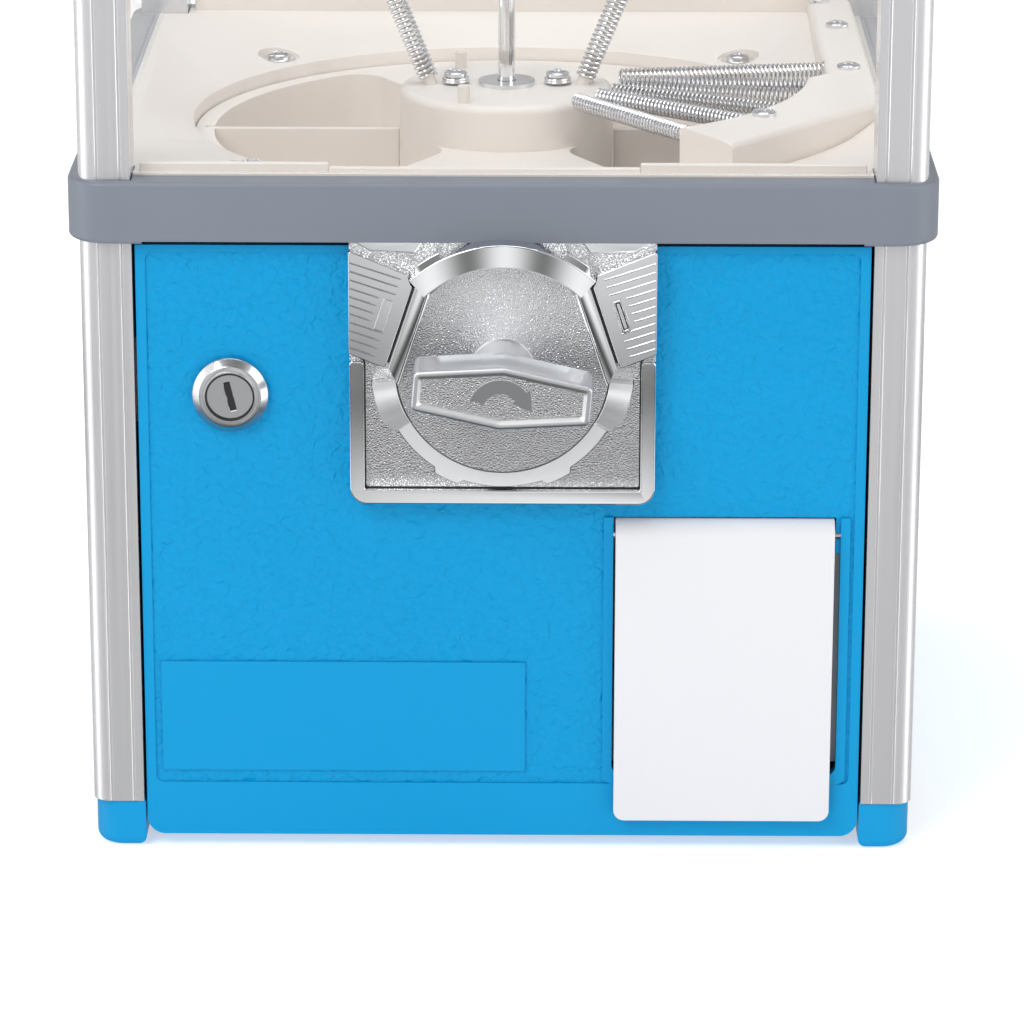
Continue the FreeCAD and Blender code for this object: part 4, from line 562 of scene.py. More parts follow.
def milky_plastic():
    """White flap plastic with an even, soft gloss."""
    finish = Finish("milky_white")
    finish.colour(finish.noise(scale=10.0), linear(FLAP_DARK), linear(FLAP_LIGHT))
    finish.roughness(finish.noise(scale=70.0), smooth=0.30, rough=0.36)
    finish.bump(finish.noise(scale=1200.0, detail=1.0), strength=0.05, distance=0.01)
    return finish.material


paint = textured_paint()
blue_plastic = moulded_plastic("blue_plastic", (0, 147, 205), (4, 153, 211), rough=0.36, shine=0.2)
grey_plastic = moulded_plastic("grey_plastic", (117, 123, 134), (124, 130, 141), rough=0.40, grain=900.0,
                               depth=0.03)
cream_plastic = moulded_plastic("cream_plastic", (234, 226, 218), (240, 233, 226), rough=0.40, soft=0.15)
# Real dark plastic for the base plate and the coin tray, and also the dark finish of the sheets painted as
# shade in gaps, slits, the key slot and the window
dark_plastic = moulded_plastic("dark_plastic", (34, 34, 36), (42, 42, 44), rough=0.5)
chute_plastic = moulded_plastic("chute_plastic", (196, 200, 204), (206, 210, 214), rough=0.45)
nylon = moulded_plastic("nylon", (226, 223, 212), (232, 229, 219), rough=0.5)
aluminium = drawn_metal("drawn_aluminium", (226, 226, 228), rough=0.20, stretch=(900.0, 900.0, 6.0),
                        lines=0.04, metallic=0.72)
steel = drawn_metal("bright_steel", (224, 224, 226), rough=0.16, stretch=(400.0, 400.0, 60.0), lines=0.1)
casting = plated_metal("die_casting", (200, 201, 203), rough=0.4, strength=0.4, grain=700.0, depth=0.05)
chrome = plated_metal("chrome_plate", (238, 239, 240), rough=0.06, strength=0.02)
satin_chrome = plated_metal("satin_chrome", (226, 227, 229), rough=0.10, strength=0.03)
mirror_chrome = plated_metal("mirror_chrome", (240, 241, 242), rough=0.015, strength=0.01)
pale_chrome = plated_metal("pale_chrome", (238, 239, 240), rough=0.10, strength=0.02, metallic=0.6)
soft_chrome = plated_metal("soft_chrome", (226, 227, 229), rough=0.34, strength=0.03)
lock_metal = plated_metal("lock_metal", (218, 219, 221), rough=0.20, strength=0.03)
stippled = plated_metal("stippled_chrome", (234, 235, 237), rough=0.18, strength=1.0, grain=2300.0,
                        depth=0.30)
arrow_metal = plated_metal("arrow_metal", (176, 177, 179), rough=0.3, strength=0.05)
clear = clear_sheet()
milky = milky_plastic()


# Posts and feet

POST_NAMES = (("rear_right", 0), ("rear_left", 1), ("front_left", 2), ("front_right", 3))
POST_ROUND = 4.8
POST_ROUND_POINTS = 13
POST_EDGE = 0.15
POST_LINES = (11.6, 5.4)
POST_LINE_WIDTH = 0.9
POST_LINE_DEPTH = 0.4
FOOT_EDGE = 0.4


def quarter_turned(outline, quarters):
    """An (x, y) outline turned about the tie rod by quarter turns."""
    turn = math.pi / 2 * quarters
    spin = np.array([[math.cos(turn), math.sin(turn)], [-math.sin(turn), math.cos(turn)]])
    return outline @ spin


def post_outline(low, high):
    """The section of the back right post: a square with one round corner and V-lines on its outer faces."""
    lines = np.array([(high - line + along * POST_LINE_WIDTH, high - depth * POST_LINE_DEPTH)
                      for line in POST_LINES for along, depth in ((-0.5, 0), (0, 1), (0.5, 0))])
    angle = np.linspace(0, np.pi / 2, POST_ROUND_POINTS)
    arc = (high - POST_ROUND) + POST_ROUND * np.column_stack([np.cos(angle), np.sin(angle)])
    return np.concatenate([[[low, low], [high, low]], lines[:, ::-1], arc, lines[::-1], [[low, high]]])


for prefix, quarters in POST_NAMES:
    node = prefix + "_post"
    low, high = corners(node)
    near = np.min(np.abs([low[:2], high[:2]]))
    far = np.max(np.abs([low[:2], high[:2]]))
    outline = quarter_turned(post_outline(near, far), quarters)
    place(post_prism(node + "_extrusion", outline, low[2], high[2], POST_EDGE), aluminium, node)
    place(dressed(prefix + "_foot", FOOT_EDGE), blue_plastic, prefix + "_foot")


# Belt, top frame, bowl, wheel and lid

# The belt sits a little lower than its solid, and the spring housing ends at an angle about the tie rod
BELT_LIFT = -1.0
HOUSING_END = -56.2
LID_CREASE = 15.0
LIP_HALF = 98.0
LIP_INNER = 104.5
LIP_OUTER = 106.7
LIP_FOOT = 190.0
LIP_ROUND = 0.6
LIP_EDGE = 0.4
REAR_LIP_TOP = 198.5
FRONT_LIP_TOP = 193.8
FRONT_TAB_TOP = 195.0
LEFT_TAB = (-LIP_HALF, -47.0)
RIGHT_TAB = (37.0, LIP_HALF)
BOWL_LIPS = (("rear_bowl_lip", -LIP_HALF, LIP_HALF, LIP_INNER, REAR_LIP_TOP),
             ("front_bowl_lip", LEFT_TAB[1], RIGHT_TAB[0], -LIP_OUTER, FRONT_LIP_TOP),
             ("front_bowl_tab", *LEFT_TAB, -LIP_OUTER, FRONT_TAB_TOP),
             ("front_bowl_tab", *RIGHT_TAB, -LIP_OUTER, FRONT_TAB_TOP))


def bowl_lip(name, start, end, front, top):
    """A thin upright lip on the bowl's rim: a box outline with round corners, carried up to its top."""
    back = front + LIP_OUTER - LIP_INNER
    outline = rounded_outline([(start, front), (end, front), (end, back), (start, back)], LIP_ROUND)
    return post_prism(name, outline, LIP_FOOT, top, LIP_EDGE)


place(dressed("belt_frame", edge=1.0, segments=3, lift=BELT_LIFT), grey_plastic, "belt_frame")
place(dressed("top_frame", edge=0.7), grey_plastic, "top_frame")
place(dressed("hopper_bowl", edge=1.3, segments=3), cream_plastic, "hopper_bowl")
for lip in BOWL_LIPS:
    place(bowl_lip(*lip), cream_plastic, "hopper_bowl")
place(dressed("gumball_wheel", edge=1.2, segments=3), cream_plastic, "gumball_wheel")
place(dressed("spring_housing", edge=0.8, segments=3, end_angle=HOUSING_END), cream_plastic, "spring_housing")
for side in ("left", "right"):
    place(dressed(side + "_partition", edge=0.4), cream_plastic, side + "_partition")
place(dressed("lid", edge=0.8, crease=LID_CREASE, segments=3), blue_plastic, "lid")


# Springs

BRUSH_ANGLES = (-53.0, -38.0, -25.0, -14.0, -4.0, 9.0)
BRUSH_HEIGHT = 194.0
BRUSH_START = 33.0
BRUSH_WALL = 87.0
BRUSH_STRAIGHT_WALL = 92.6
BRUSH_STRAIGHT_FROM = -6.0
BRUSH_SOCKET = 2.2
BRUSH_COIL = 2.5
BRUSH_WIRE = 0.42
BRUSH_PITCH = 1.35
AGITATOR_FOOT = 22.0
AGITATOR_LEAN = 22.0
AGITATOR_LENGTH = 95.0
AGITATOR_COIL = 3.0
AGITATOR_WIRE = 0.48
AGITATOR_PITCH = 1.5
SPRING_GAP = 0.3
AGITATOR_SCREW = 14.8
EYE_HEIGHT = 2.4
EYE_RADIUS = 4.0
EYE_CURLS = 2
EYE_STEPS = 48


def brush_length(angle):
    """From the hub's edge to the housing wall, which is round in front and straight behind."""
    wall = BRUSH_WALL
    if angle > BRUSH_STRAIGHT_FROM:
        wall = BRUSH_STRAIGHT_WALL / math.cos(math.radians(angle))
    return wall + BRUSH_SOCKET - BRUSH_START


brushes = []
for angle in BRUSH_ANGLES:
    turn = math.radians(angle)
    direction = np.array([math.cos(turn), math.sin(turn), 0.0])
    foot = direction * BRUSH_START + np.array([0, 0, BRUSH_HEIGHT])
    length = brush_length(angle)
    brushes.append(coil(foot, direction, length, BRUSH_COIL, BRUSH_WIRE, round(length / BRUSH_PITCH)))
place(merged("brush_spring_wires", brushes), steel, "brush_springs")
for side, sign in (("left", -1), ("right", 1)):
    lean = math.radians(AGITATOR_LEAN)
    direction = np.array([sign * math.sin(lean), 0.0, math.cos(lean)])
    lift = AGITATOR_COIL * math.tan(lean) + SPRING_GAP
    foot = np.array([sign * AGITATOR_FOOT, 0.0, HUB_TOP]) + direction * lift
    curls = round(AGITATOR_LENGTH / AGITATOR_PITCH)
    wire = coil(foot, direction, AGITATOR_LENGTH, AGITATOR_COIL, AGITATOR_WIRE, curls)
    eye_foot = np.array([sign * AGITATOR_SCREW, 0.0, HUB_TOP])
    eye = coil(eye_foot, (0, 0, 1), EYE_HEIGHT, EYE_RADIUS, AGITATOR_WIRE, EYE_CURLS, EYE_STEPS)
    place(merged(side + "_agitator_wire", [wire, eye]), steel, side + "_agitator_spring")


# Screws in the bowl

SCREW_RADIUS = 3.4
SCREW_HEIGHT = 1.9
SCREW_CREASE = 28.0
HEAD_RINGS = 14
HEAD_SIDES = 48
# Shares of a head's radius: the dome, and the cross recess with its half width, reach and fade; and its depth
HEAD_DOME = 0.86
CROSS_WIDTH = 0.16
CROSS_REACH = 0.62
CROSS_FADE = 0.15
CROSS_DEPTH = 0.55
HOUSING_TOP = 197.5
HOUSING_SCREWS = ((72.2, -58.5), (99.3, 2.0), (99.3, 59.7), (95.7, 97.0))
BOWL_SCREW = 70.0
BOWL_SEAT = 184.6
WASHER_RADIUS = 5.2
WASHER_THICK = 0.6
WASHER_EDGE = 0.15
WASHER_SIDES = 48


def screw_heads(name, places):
    """Pan heads with a cross recess: height(r, a) = dome(r) less a cross-shaped dip that fades out with r.
    Each place comes with the angle at which its screw stopped."""
    ring = np.linspace(0.0, 1.0, HEAD_RINGS)
    angle = np.linspace(0, 2 * np.pi, HEAD_SIDES, endpoint=False)
    share, turn = np.meshgrid(ring, angle, indexing="ij")
    cross = np.minimum(np.abs(np.cos(turn)), np.abs(np.sin(turn))) * share
    dip = np.clip(1 - cross / CROSS_WIDTH, 0, 1) * np.clip((CROSS_REACH - share) / CROSS_FADE, 0, 1)
    dome = SCREW_HEIGHT * np.sqrt(np.clip(1 - (share * HEAD_DOME) ** 2, 0, 1))
    top = dome - CROSS_DEPTH * SCREW_HEIGHT * dip
    flat = SCREW_RADIUS * share
    grids = []
    for (x, y, z), spin in places:
        face = np.stack([x + flat * np.cos(turn + spin), y + flat * np.sin(turn + spin), z + top], axis=-1)
        skirt = face[-1:].copy()
        skirt[..., 2] = z
        grids.append(np.concatenate([face, skirt]))
    return merged(name, grids, SCREW_CREASE)


housing_heads = [((x, y, HOUSING_TOP), 0.4 + x) for x, y in HOUSING_SCREWS]
agitator_heads = [((sign * AGITATOR_SCREW, 0.0, HUB_TOP + EYE_HEIGHT), 0.5 * sign) for sign in (1, -1)]
bowl_heads = [((x, y, BOWL_SEAT + WASHER_THICK), 0.3 + x + y)
              for x in (-BOWL_SCREW, BOWL_SCREW) for y in (-BOWL_SCREW, BOWL_SCREW)]
place(screw_heads("housing_screw_heads", housing_heads), steel, "housing_screws")
place(screw_heads("agitator_screw_heads", agitator_heads), steel, "agitator_screws")
place(screw_heads("bowl_screw_heads", bowl_heads), steel, "bowl_screws")
washer = [(0.0, -WASHER_THICK), (WASHER_RADIUS, -WASHER_THICK), (WASHER_RADIUS, -WASHER_EDGE),
          (WASHER_RADIUS - WASHER_EDGE, 0.0), (0.0, 0.0)]
for centre, spin in bowl_heads:
    piece = turned_piece("bowl_screw_washer", washer, centre, (0, 0, 1), WASHER_SIDES, caps=False)
    place(piece, steel, "bowl_screws")


# Front panel, lock and flap

place(dressed("front_panel", edge=0.45), paint, "front_panel")
place(dressed("flap", edge=0.5, segments=3), milky, "flap")
place(dressed("lock_plug", edge=0.2), lock_metal, "lock_plug")
place(dressed("lid_lock_barrel", edge=0.4), chrome, "lid_lock_barrel")
place(dressed("lid_lock_plug", edge=0.3), chrome, "lid_lock_plug")

LOCK_BEZEL = 10.5
LOCK_LAND = 8.3
LOCK_LAND_SINK = 0.3
LOCK_BORE = 6.65
LOCK_LIP = 7.15
LOCK_EDGE = 0.1
# Width of the dark ring painted as shade in the gap round the plug
LOCK_SHADOW_LINE = 0.4
LOCK_BODY = 8.0
LOCK_SIDES = 96
LOCK_CREASE = 40.0
# The bezel's rim, as radius beyond LOCK_BEZEL and height over the panel
LOCK_RIM = ((0.0, 0.0), (0.0, 1.2), (-0.1, 1.5), (-0.3, 1.7))
# The dark inlay painted as the key slot's shade: its length, lean, sink into the plug and rise out of it
KEY_LENGTH = 7.8
KEY_LEAN = 13.0
KEY_SINK = 0.3
KEY_RISE = 0.02


def lock_turning(name, profile):
    """A lathe shape about the lock's axis, with heights over the panel's face."""
    low, high = corners("lock_barrel")
    centre = ((low[0] + high[0]) / 2, PANEL_FACE, (low[2] + high[2]) / 2)
    return turned_piece(name, profile, centre, (0, -1, 0), LOCK_SIDES, LOCK_CREASE, caps=False)


def lock_barrel():
    """The threaded body, a bezel that slopes to a flat land, a thin raised lip and the bore."""
    low, high = corners("lock_barrel")
    face = PANEL_FACE - low[1]
    back = PANEL_FACE - high[1]
    land = face - LOCK_LAND_SINK
    rim = [(LOCK_BEZEL + beyond, height) for beyond, height in LOCK_RIM]
    profile = [(LOCK_BORE, back), (LOCK_BODY, back), (LOCK_BODY, 0), *rim,
               (LOCK_LAND + 0.3, land - 0.2), (LOCK_LAND, land), (LOCK_LIP + 0.05, land),
               (LOCK_LIP, face - LOCK_EDGE), (LOCK_LIP - LOCK_EDGE, face), (LOCK_BORE + LOCK_EDGE, face),
               (LOCK_BORE, face - LOCK_EDGE), (LOCK_BORE, back)]
    return lock_turning("lock_bezel", profile)


def keyway_painted_shadow():
    """Painted shade in the key slot: a dark, narrow stepped bar that leans a little, just proud of the plug's
    face.
    """
    low, high = corners("lock_plug")
    lean = math.radians(KEY_LEAN)
    half = KEY_LENGTH / 2
    shape = np.array([(-0.2, -half), (1.0, -half), (1.0, -0.5), (0.5, 0.2), (0.9, 0.9), (0.9, half),
                      (-0.6, half), (-1.0, half - 1.0), (-1.0, 0.6), (-0.6, -0.2), (-1.0, -1.0),
                      (-1.0, 1.2 - half)])
    spin = np.array([[math.cos(lean), math.sin(lean)], [-math.sin(lean), math.cos(lean)]])
    middle = np.array([low[0] + high[0], low[2] + high[2]]) / 2
    return cast_block("lock_keyway_painted_shadow", shape @ spin + middle, radius=0.2, back=low[1] + KEY_SINK,
                      front=low[1] - KEY_RISE, edge=KEY_RISE)


def lock_painted_shadow():
    """Painted shade in the gap round the plug: a thin dark ring of square section in the mouth of the bore.
    """
    face = PANEL_FACE - corners("lock_barrel")[0][1]
    inner = LOCK_BORE - LOCK_SHADOW_LINE
    outer = LOCK_BORE + 0.05
    back = face - 0.2
    front = face + 0.03
    section = [(inner, back), (inner, front), (outer, front), (outer, back), (inner, back)]
    return lock_turning("lock_painted_shadow", section)


place(lock_barrel(), lock_metal, "lock_barrel")
place(lock_painted_shadow(), dark_plastic, "lock_barrel")
place(keyway_painted_shadow(), dark_plastic, "lock_plug")


# Coin mechanism

# Places are measured from the handle's axis, faces are depths in the frame, rises stand out from the plate's
# face and angles are degrees; raised shapes are rooted a little inside the plate
PLATE_HALF = 41.5
PLATE_ROUND = 4.5
PLATE_TOP_ROUND = 1.5
PLATE_FACE = -116.0
PLATE_EDGE = 0.4
RAISED_FROM = PLATE_FACE + 0.5
BORDER_WIDTH = 4.0
BORDER_RISE = 2.6
BORDER_EDGE = 0.45
BORDER_TOP = 2.8
OPENING = 29.0
RING_OUTER = 33.0
RING_RISE = 1.2
RING_EDGE = 0.2
RING_FROM = 5.0
RING_POINTS = 241
RING_LUG = 35.4
RING_LUG_RISE = 2.6
RING_LUG_STEP = 0.2
RING_LUG_END = 30.5
RING_LUG_OUT = 65.0
RING_FOOT = 34.4
RING_FEET = (20.0, 33.0)
HOOD_INNER = 30.5
HOOD_OUTER = 36.6
HOOD_RISE = 9.0
HOOD_EDGE = 0.45
HOOD_SPAN = 43.0
HOOD_POINTS = 121
HOOD_LEAN = 1.0
HOOD_LUG = 38.5
HOOD_LUGS = (26.5, 40.5)
HOOD_LUG_POINTS = 25
HOOD_LUG_TAPER = 4.0
HOOD_LUG_INSET = 1.5
HOOD_LUG_RISE = 8.1
HOOD_LUG_LEAN = 0.5
HOOD_LUG_EDGE = 0.35
BAR_TOP = np.array([23.8, 23.5])
BAR_FOOT = np.array([31.2, 1.1])
BAR_MIDDLE = (BAR_TOP + BAR_FOOT) / 2
BAR_UP = (BAR_TOP - BAR_FOOT) / np.linalg.norm(BAR_TOP - BAR_FOOT)
BAR_OUT = np.array([BAR_UP[1], -BAR_UP[0]])
BAR_RISE = 6.5
BAR_BACK = -117.3
BAR_FROM = -10.5
BAR_FOOT_LEAN = 1.0
BAR_TO = 12.8
BAR_POINTS = 9
# A bar's front from its inner to its outer edge, as place across it and depth behind its front
BAR_SECTION = ((-4.4, 1.1), (-4.3, 0.9), (-4.1, 0.8), (-3.9, 0.85), (-3.8, 1.2), (-3.7, 0.3), (-3.6, 0.08),
               (-3.4, 0.0), (-0.4, 0.0), (-0.12, 0.1), (0.0, 0.4))
DISC_FACE = -117.0
DISC_GROW = 0.15
COIN_GAP = 0.6
# Overlap under the bar, span along it and sink behind the wing's face of the dark sheet painted as shade in
# each slit
SLIT_OVERLAP = 0.1
SLIT_SPAN = (-10.0, 12.0)
SLIT_SINK = 0.5
# Width, rise and edge of the dark bands painted as shadow lines round the border and the ring; the edge also
# rounds the slits' painted shade
SHADOW_LINE = 0.35
SHADOW_LINE_RISE = 0.08
SHADOW_LINE_EDGE = 0.02
WING_RISE = 4.2
WING_FACE = PLATE_FACE - WING_RISE
WING_TOP = 34.0
WING_PEAK = (25.4, 27.4)
WING_LOW = 5.3
WING_SPAN = 11.8
WING_ROUND = 0.6
WING_EDGE = 0.3
RIB_COUNT = 11
RIB_POINTS = 6
RIB_SIDES = 7
RIB_SPACING = 2.25
RIB_SHIFT = 2.0
RIB_START = 3.6
RIB_END = 0.4
RIB_FADE = 2.0
RIB_WIDTH = 0.45
RIB_HEIGHT = 0.7
RIB_SINK = 0.05
WINDOW_AT = (5.6, 2.3)
WINDOW_SIZE = (1.5, 7.8)
WINDOW_CLEAR = (2.2, 0.9)
# The strip above a wing, as place across the plate and drop below its top
TOP_LAND = ((PLATE_HALF - 0.4, 0.4), (35.8, 3.4), (23.6, 4.0), (21.0, 0.4))


def beside_bar(points, side):
    """Points of (across, along) a slanted bar as (x, z): across points outwards, along points up the bar."""
    points = np.asarray(points, float)
    flat = BAR_MIDDLE + points[..., :1] * BAR_OUT + points[..., 1:] * BAR_UP
    return flat * np.array([side, 1.0]) + np.array([0.0, MECH_Z])


def plate_corners():
    """The plate's corners as (x, z), from the lower left one round to the upper left one."""
    low, high = corners("mech_faceplate")
    return np.array([[-PLATE_HALF, low[2]], [PLATE_HALF, low[2]],
                     [PLATE_HALF, high[2]], [-PLATE_HALF, high[2]]])


def faceplate_field():
    """The plate behind everything, round the opening for the disc."""
    radius = (PLATE_ROUND, PLATE_ROUND, PLATE_TOP_ROUND, PLATE_TOP_ROUND)
    outline = rounded_outline(plate_corners(), radius, steps=8)
    turn = np.linspace(0, 2 * np.pi, SPOKES, endpoint=False)
    opening = np.column_stack([np.cos(turn), np.sin(turn)]) * OPENING + np.array([0.0, MECH_Z])
    return holed_block("faceplate_field", outline, opening, PANEL_FACE, PLATE_FACE, PLATE_EDGE, PANEL_FACE)


def faceplate_border(name, width, rise, edge):
    """A U along both sides and the bottom, raised by the given height."""
    low = plate_corners()[0]
    top = MECH_Z + BORDER_TOP
    inner = PLATE_HALF - width
    floor = low[1] + width
    shape = [(-PLATE_HALF, low[1]), (PLATE_HALF, low[1]), (PLATE_HALF, top), (inner, top), (inner, floor),
             (-inner, floor), (-inner, top), (-PLATE_HALF, top)]
    radius = np.array([PLATE_ROUND, PLATE_ROUND, 1.0, 1.0, 0.8, 0.8, 1.0, 1.0])
    return cast_block(name, shape, radius, RAISED_FROM, PLATE_FACE - rise, edge)


def stepped(away, angle):
    """A step from zero to one, a degree to each side of an angle."""
    return eased(away, angle - 1, angle + 1)


def lower_ring(name, grow, raised):
    """The ring below the disc: its outer radius steps out at two feet and at both ends, which rise and curve
    down; the dark band round it, painted as its shadow line, is the same shape, a little wider and flat."""
    end = 90 - RING_FROM
    below = np.linspace(-end, end, RING_POINTS)
    away = np.abs(below)
    lug_start = 90 - RING_LUG_END
    foot = stepped(away, RING_FEET[0]) * (1 - stepped(away, RING_FEET[1]))
    outer = RING_OUTER + foot * (RING_FOOT - RING_OUTER) + stepped(away, lug_start) * (RING_FOOT - RING_OUTER)
    outer = outer + stepped(away, RING_LUG_OUT) * (RING_LUG - RING_FOOT)
    along = np.clip((away - lug_start) / (end - lug_start), 0, 1)
    climb = RING_LUG_STEP + RING_LUG_RISE * (1 - (1 - along) ** 3)
    rise = RING_RISE + np.where(away > lug_start, climb, 0)
    front = PLATE_FACE - (rise if raised else SHADOW_LINE_RISE)
    edge = RING_EDGE if raised else SHADOW_LINE_EDGE
    return arc_band(name, 270 + below, OPENING, outer + grow, PANEL_FACE, front, front, edge)


def hood():
    """The arch over the disc, whose front leans back towards its outer rim."""
    angles = 90 + np.linspace(-HOOD_SPAN, HOOD_SPAN, HOOD_POINTS)
    front = PLATE_FACE - HOOD_RISE
    return arc_band("hood", angles, HOOD_INNER, HOOD_OUTER, RAISED_FROM, front, front + HOOD_LEAN, HOOD_EDGE)


def hood_lug(side):
    """A step on the arch near its end, which tapers back to it."""
    first, last = HOOD_LUGS
    away = np.linspace(first, last, HOOD_LUG_POINTS)
    outer = HOOD_LUG - (HOOD_LUG - HOOD_OUTER) * eased(away, last - HOOD_LUG_TAPER, last)
    front = PLATE_FACE - HOOD_LUG_RISE
    return arc_band("hood_lug", 90 - side * away, HOOD_INNER + HOOD_LUG_INSET, outer, RAISED_FROM, front,
                    front + HOOD_LUG_LEAN, HOOD_LUG_EDGE)


def coin_bar(side):
    """A bar's section, with a low lip and a groove along its inner edge, carried along the slanted line."""
    front = PLATE_FACE - BAR_RISE
    face = [(across, front + behind) for across, behind in BAR_SECTION]
    section = np.array([(face[0][0], BAR_BACK), *face, (face[-1][0], BAR_BACK)])
    across, share = np.meshgrid(section[:, 0], np.linspace(0, 1, BAR_POINTS))
    foot = BAR_FROM + BAR_FOOT_LEAN * across
    up = foot + share * (BAR_TO - foot)
    flat = beside_bar(np.stack([across, up], axis=-1), side)
    depth = np.broadcast_to(section[:, 1], across.shape)
    return surface("coin_bar", np.stack([flat[..., 0], depth, flat[..., 1]], axis=-1))


def slit_painted_shadow(side):
    """Painted shade: a dark sheet in the slit between a bar and its wing, standing for the shadow deep in the
    slit.
    """
    low, high = SLIT_SPAN
    outer = COIN_GAP + SLIT_OVERLAP
    shape = beside_bar([(-SLIT_OVERLAP, low), (outer, low), (outer, high), (-SLIT_OVERLAP, high)], side)
    return cast_block("slit_painted_shadow", shape, radius=0.1, back=PLATE_FACE, front=WING_FACE + SLIT_SINK,
                      edge=SHADOW_LINE_EDGE)


def wing_shape(side):
    """A wing's corners as (x, z): two on the plate's edge, two along the bar and the peak."""
    edge = beside_bar([(COIN_GAP, -WING_SPAN), (COIN_GAP, WING_SPAN)], side)
    peak = (side * WING_PEAK[0], MECH_Z + WING_PEAK[1])
    outer = side * PLATE_HALF
    return np.array([(outer, MECH_Z + WING_TOP), (outer, MECH_Z + WING_LOW), edge[0], edge[1], peak])


def window_outline(side, grow):
    """The corners of a wing's window as (x, z), moved outwards by a distance."""
    across, along = WINDOW_AT
    half_width = WINDOW_SIZE[0] / 2 + grow
    half_length = WINDOW_SIZE[1] / 2 + grow
    box = [(across - half_width, along - half_length), (across + half_width, along - half_length),
           (across + half_width, along + half_length), (across - half_width, along + half_length)]
    return beside_bar(box, side)


def top_land(side):
    """A smooth raised strip along the plate's top edge, above the wing."""
    top = corners("mech_faceplate")[1][2]
    shape = np.array([(side * across, top - drop) for across, drop in TOP_LAND])
    return cast_block("top_land", shape, radius=0.4, back=RAISED_FROM, front=PLATE_FACE - 0.8, edge=0.3)


def coin_wings():
    """The raised quarters outside the bars: the right one has a window, the left one a blank relief."""
    right = cast_block("right_wing", wing_shape(1), WING_ROUND, RAISED_FROM, WING_FACE, WING_EDGE)
    left = cast_block("left_wing", wing_shape(-1), WING_ROUND, RAISED_FROM, WING_FACE, WING_EDGE)
    blank = cast_block("left_wing_blank", window_outline(-1, grow=0.6), radius=0.4, back=WING_FACE + 0.3,
                       front=WING_FACE - 0.3, edge=0.2)
    window = rounded_outline(window_outline(1, grow=0.0), radius=0.4)
    outer = rounded_outline(window_outline(1, grow=0.65), radius=0.7)
    rim = holed_block("window_frame", outer, window, back=WING_FACE + 0.3, front=WING_FACE - 0.5, edge=0.15,
                      floor=WING_FACE - 0.02)
    bar = cast_block("window_bar", window_outline(1, grow=-0.3), radius=0.2, back=WING_FACE + 0.2,
                     front=WING_FACE - 0.3, edge=0.1)
    return [right, left, blank, rim, bar]


def window_painted_shadow():
    """Painted shade: a dark sheet flush with the wing inside the window, seen round its bar, standing for the
    shadow in the window's recess.
    """
    return cast_block("window_painted_shadow", window_outline(1, grow=0.05), radius=0.3, back=WING_FACE + 0.2,
                      front=WING_FACE - 0.05, edge=0.01)


def wing_ribs():
    """Thin half-round lines across both wings, from the outer edge inwards; they stop short of the window."""
    turn = np.linspace(0, np.pi, RIB_SIDES)
    grids = []
    for side in (1, -1):
        for number in range(RIB_COUNT):
            along = (number - (RIB_COUNT - 1) / 2) * RIB_SPACING + RIB_SHIFT
            end = (PLATE_HALF - RIB_END - BAR_MIDDLE[0] - along * BAR_UP[0]) / BAR_UP[1]
            past_window = abs(along - WINDOW_AT[1]) < WINDOW_SIZE[1] / 2 + WINDOW_CLEAR[1]
            start = WINDOW_AT[0] + WINDOW_CLEAR[0] if past_window else RIB_START
            across = np.linspace(start, end, RIB_POINTS)[:, None]
            fade = np.minimum(1.0, (across - start) / RIB_FADE)
            height = WING_FACE - RIB_WIDTH * RIB_HEIGHT * np.sin(turn) * fade + RIB_SINK
            line = np.stack(np.broadcast_arrays(across, along + RIB_WIDTH / 2 * np.cos(turn)), axis=-1)
            flat = beside_bar(line, side)
            grids.append(np.stack([flat[..., 0], height, flat[..., 1]], axis=-1))
    return merged("wing_ribs", grids)


def carrier_disc():
    """A flat disc with a small round at its rim."""
    low, high = corners("carrier_disc")
    radius = (high[0] - low[0]) / 2 + DISC_GROW
    depth = high[1] - DISC_FACE
    profile = [(radius, 0), (radius, depth - 0.2), (radius - 0.06, depth - 0.06), (radius - 0.2, depth)]
    return turned_piece("carrier_disc_face", profile, (0, high[1], MECH_Z), (0, -1, 0), sides=128)


plate_pieces = [
    (faceplate_field(), stippled),
    (faceplate_border("faceplate_border", BORDER_WIDTH, BORDER_RISE, BORDER_EDGE), chrome),
    # A dark U a little wider than the border and just proud of the field: painted shadow along the border's
    # inner edge
    (faceplate_border("border_painted_shadow", BORDER_WIDTH + SHADOW_LINE, SHADOW_LINE_RISE, SHADOW_LINE_EDGE), dark_plastic),
    (lower_ring("lower_ring", grow=0.0, raised=True), pale_chrome),
    # A dark band round the ring, just proud of the plate: painted shadow along the ring's outer edge
    (lower_ring("ring_painted_shadow", grow=SHADOW_LINE, raised=False), dark_plastic),
    (hood(), chrome),
]
for side in (1, -1):
    plate_pieces += [(hood_lug(side), chrome), (coin_bar(side), mirror_chrome),
                     (slit_painted_shadow(side), dark_plastic), (top_land(side), satin_chrome)]
plate_pieces += [(piece, satin_chrome) for piece in coin_wings()]
plate_pieces += [(window_painted_shadow(), dark_plastic), (wing_ribs(), satin_chrome)]
for piece, finish in plate_pieces:
    place(piece, finish, "mech_faceplate")
place(carrier_disc(), stippled, "carrier_disc")


# Handle

GRIP_FRONT = -145.0
GRIP_BACK = -128.5
GRIP_HALF = 23.8
GRIP_MID = 8.5
GRIP_END = 5.2
GRIP_TILT = 5.0
GRIP_ROUND = np.array([1.4, 1.4, 5.0, 1.4, 1.4, 5.0])
GRIP_LEAST_ROUND = 0.25
GRIP_RECESS = 1.3
# Rings of the grip's rim, as inset from its outline and depth behind its front
GRIP_RIM = ((2.7, GRIP_RECESS), (2.4, GRIP_RECESS - 0.05), (2.2, GRIP_RECESS - 0.2), (1.55, 0.25),
            (1.4, 0.08), (1.2, 0.0), (0.6, 0.0), (0.35, 0.06), (0.15, 0.2), (0.04, 0.4), (0.0, 0.7))
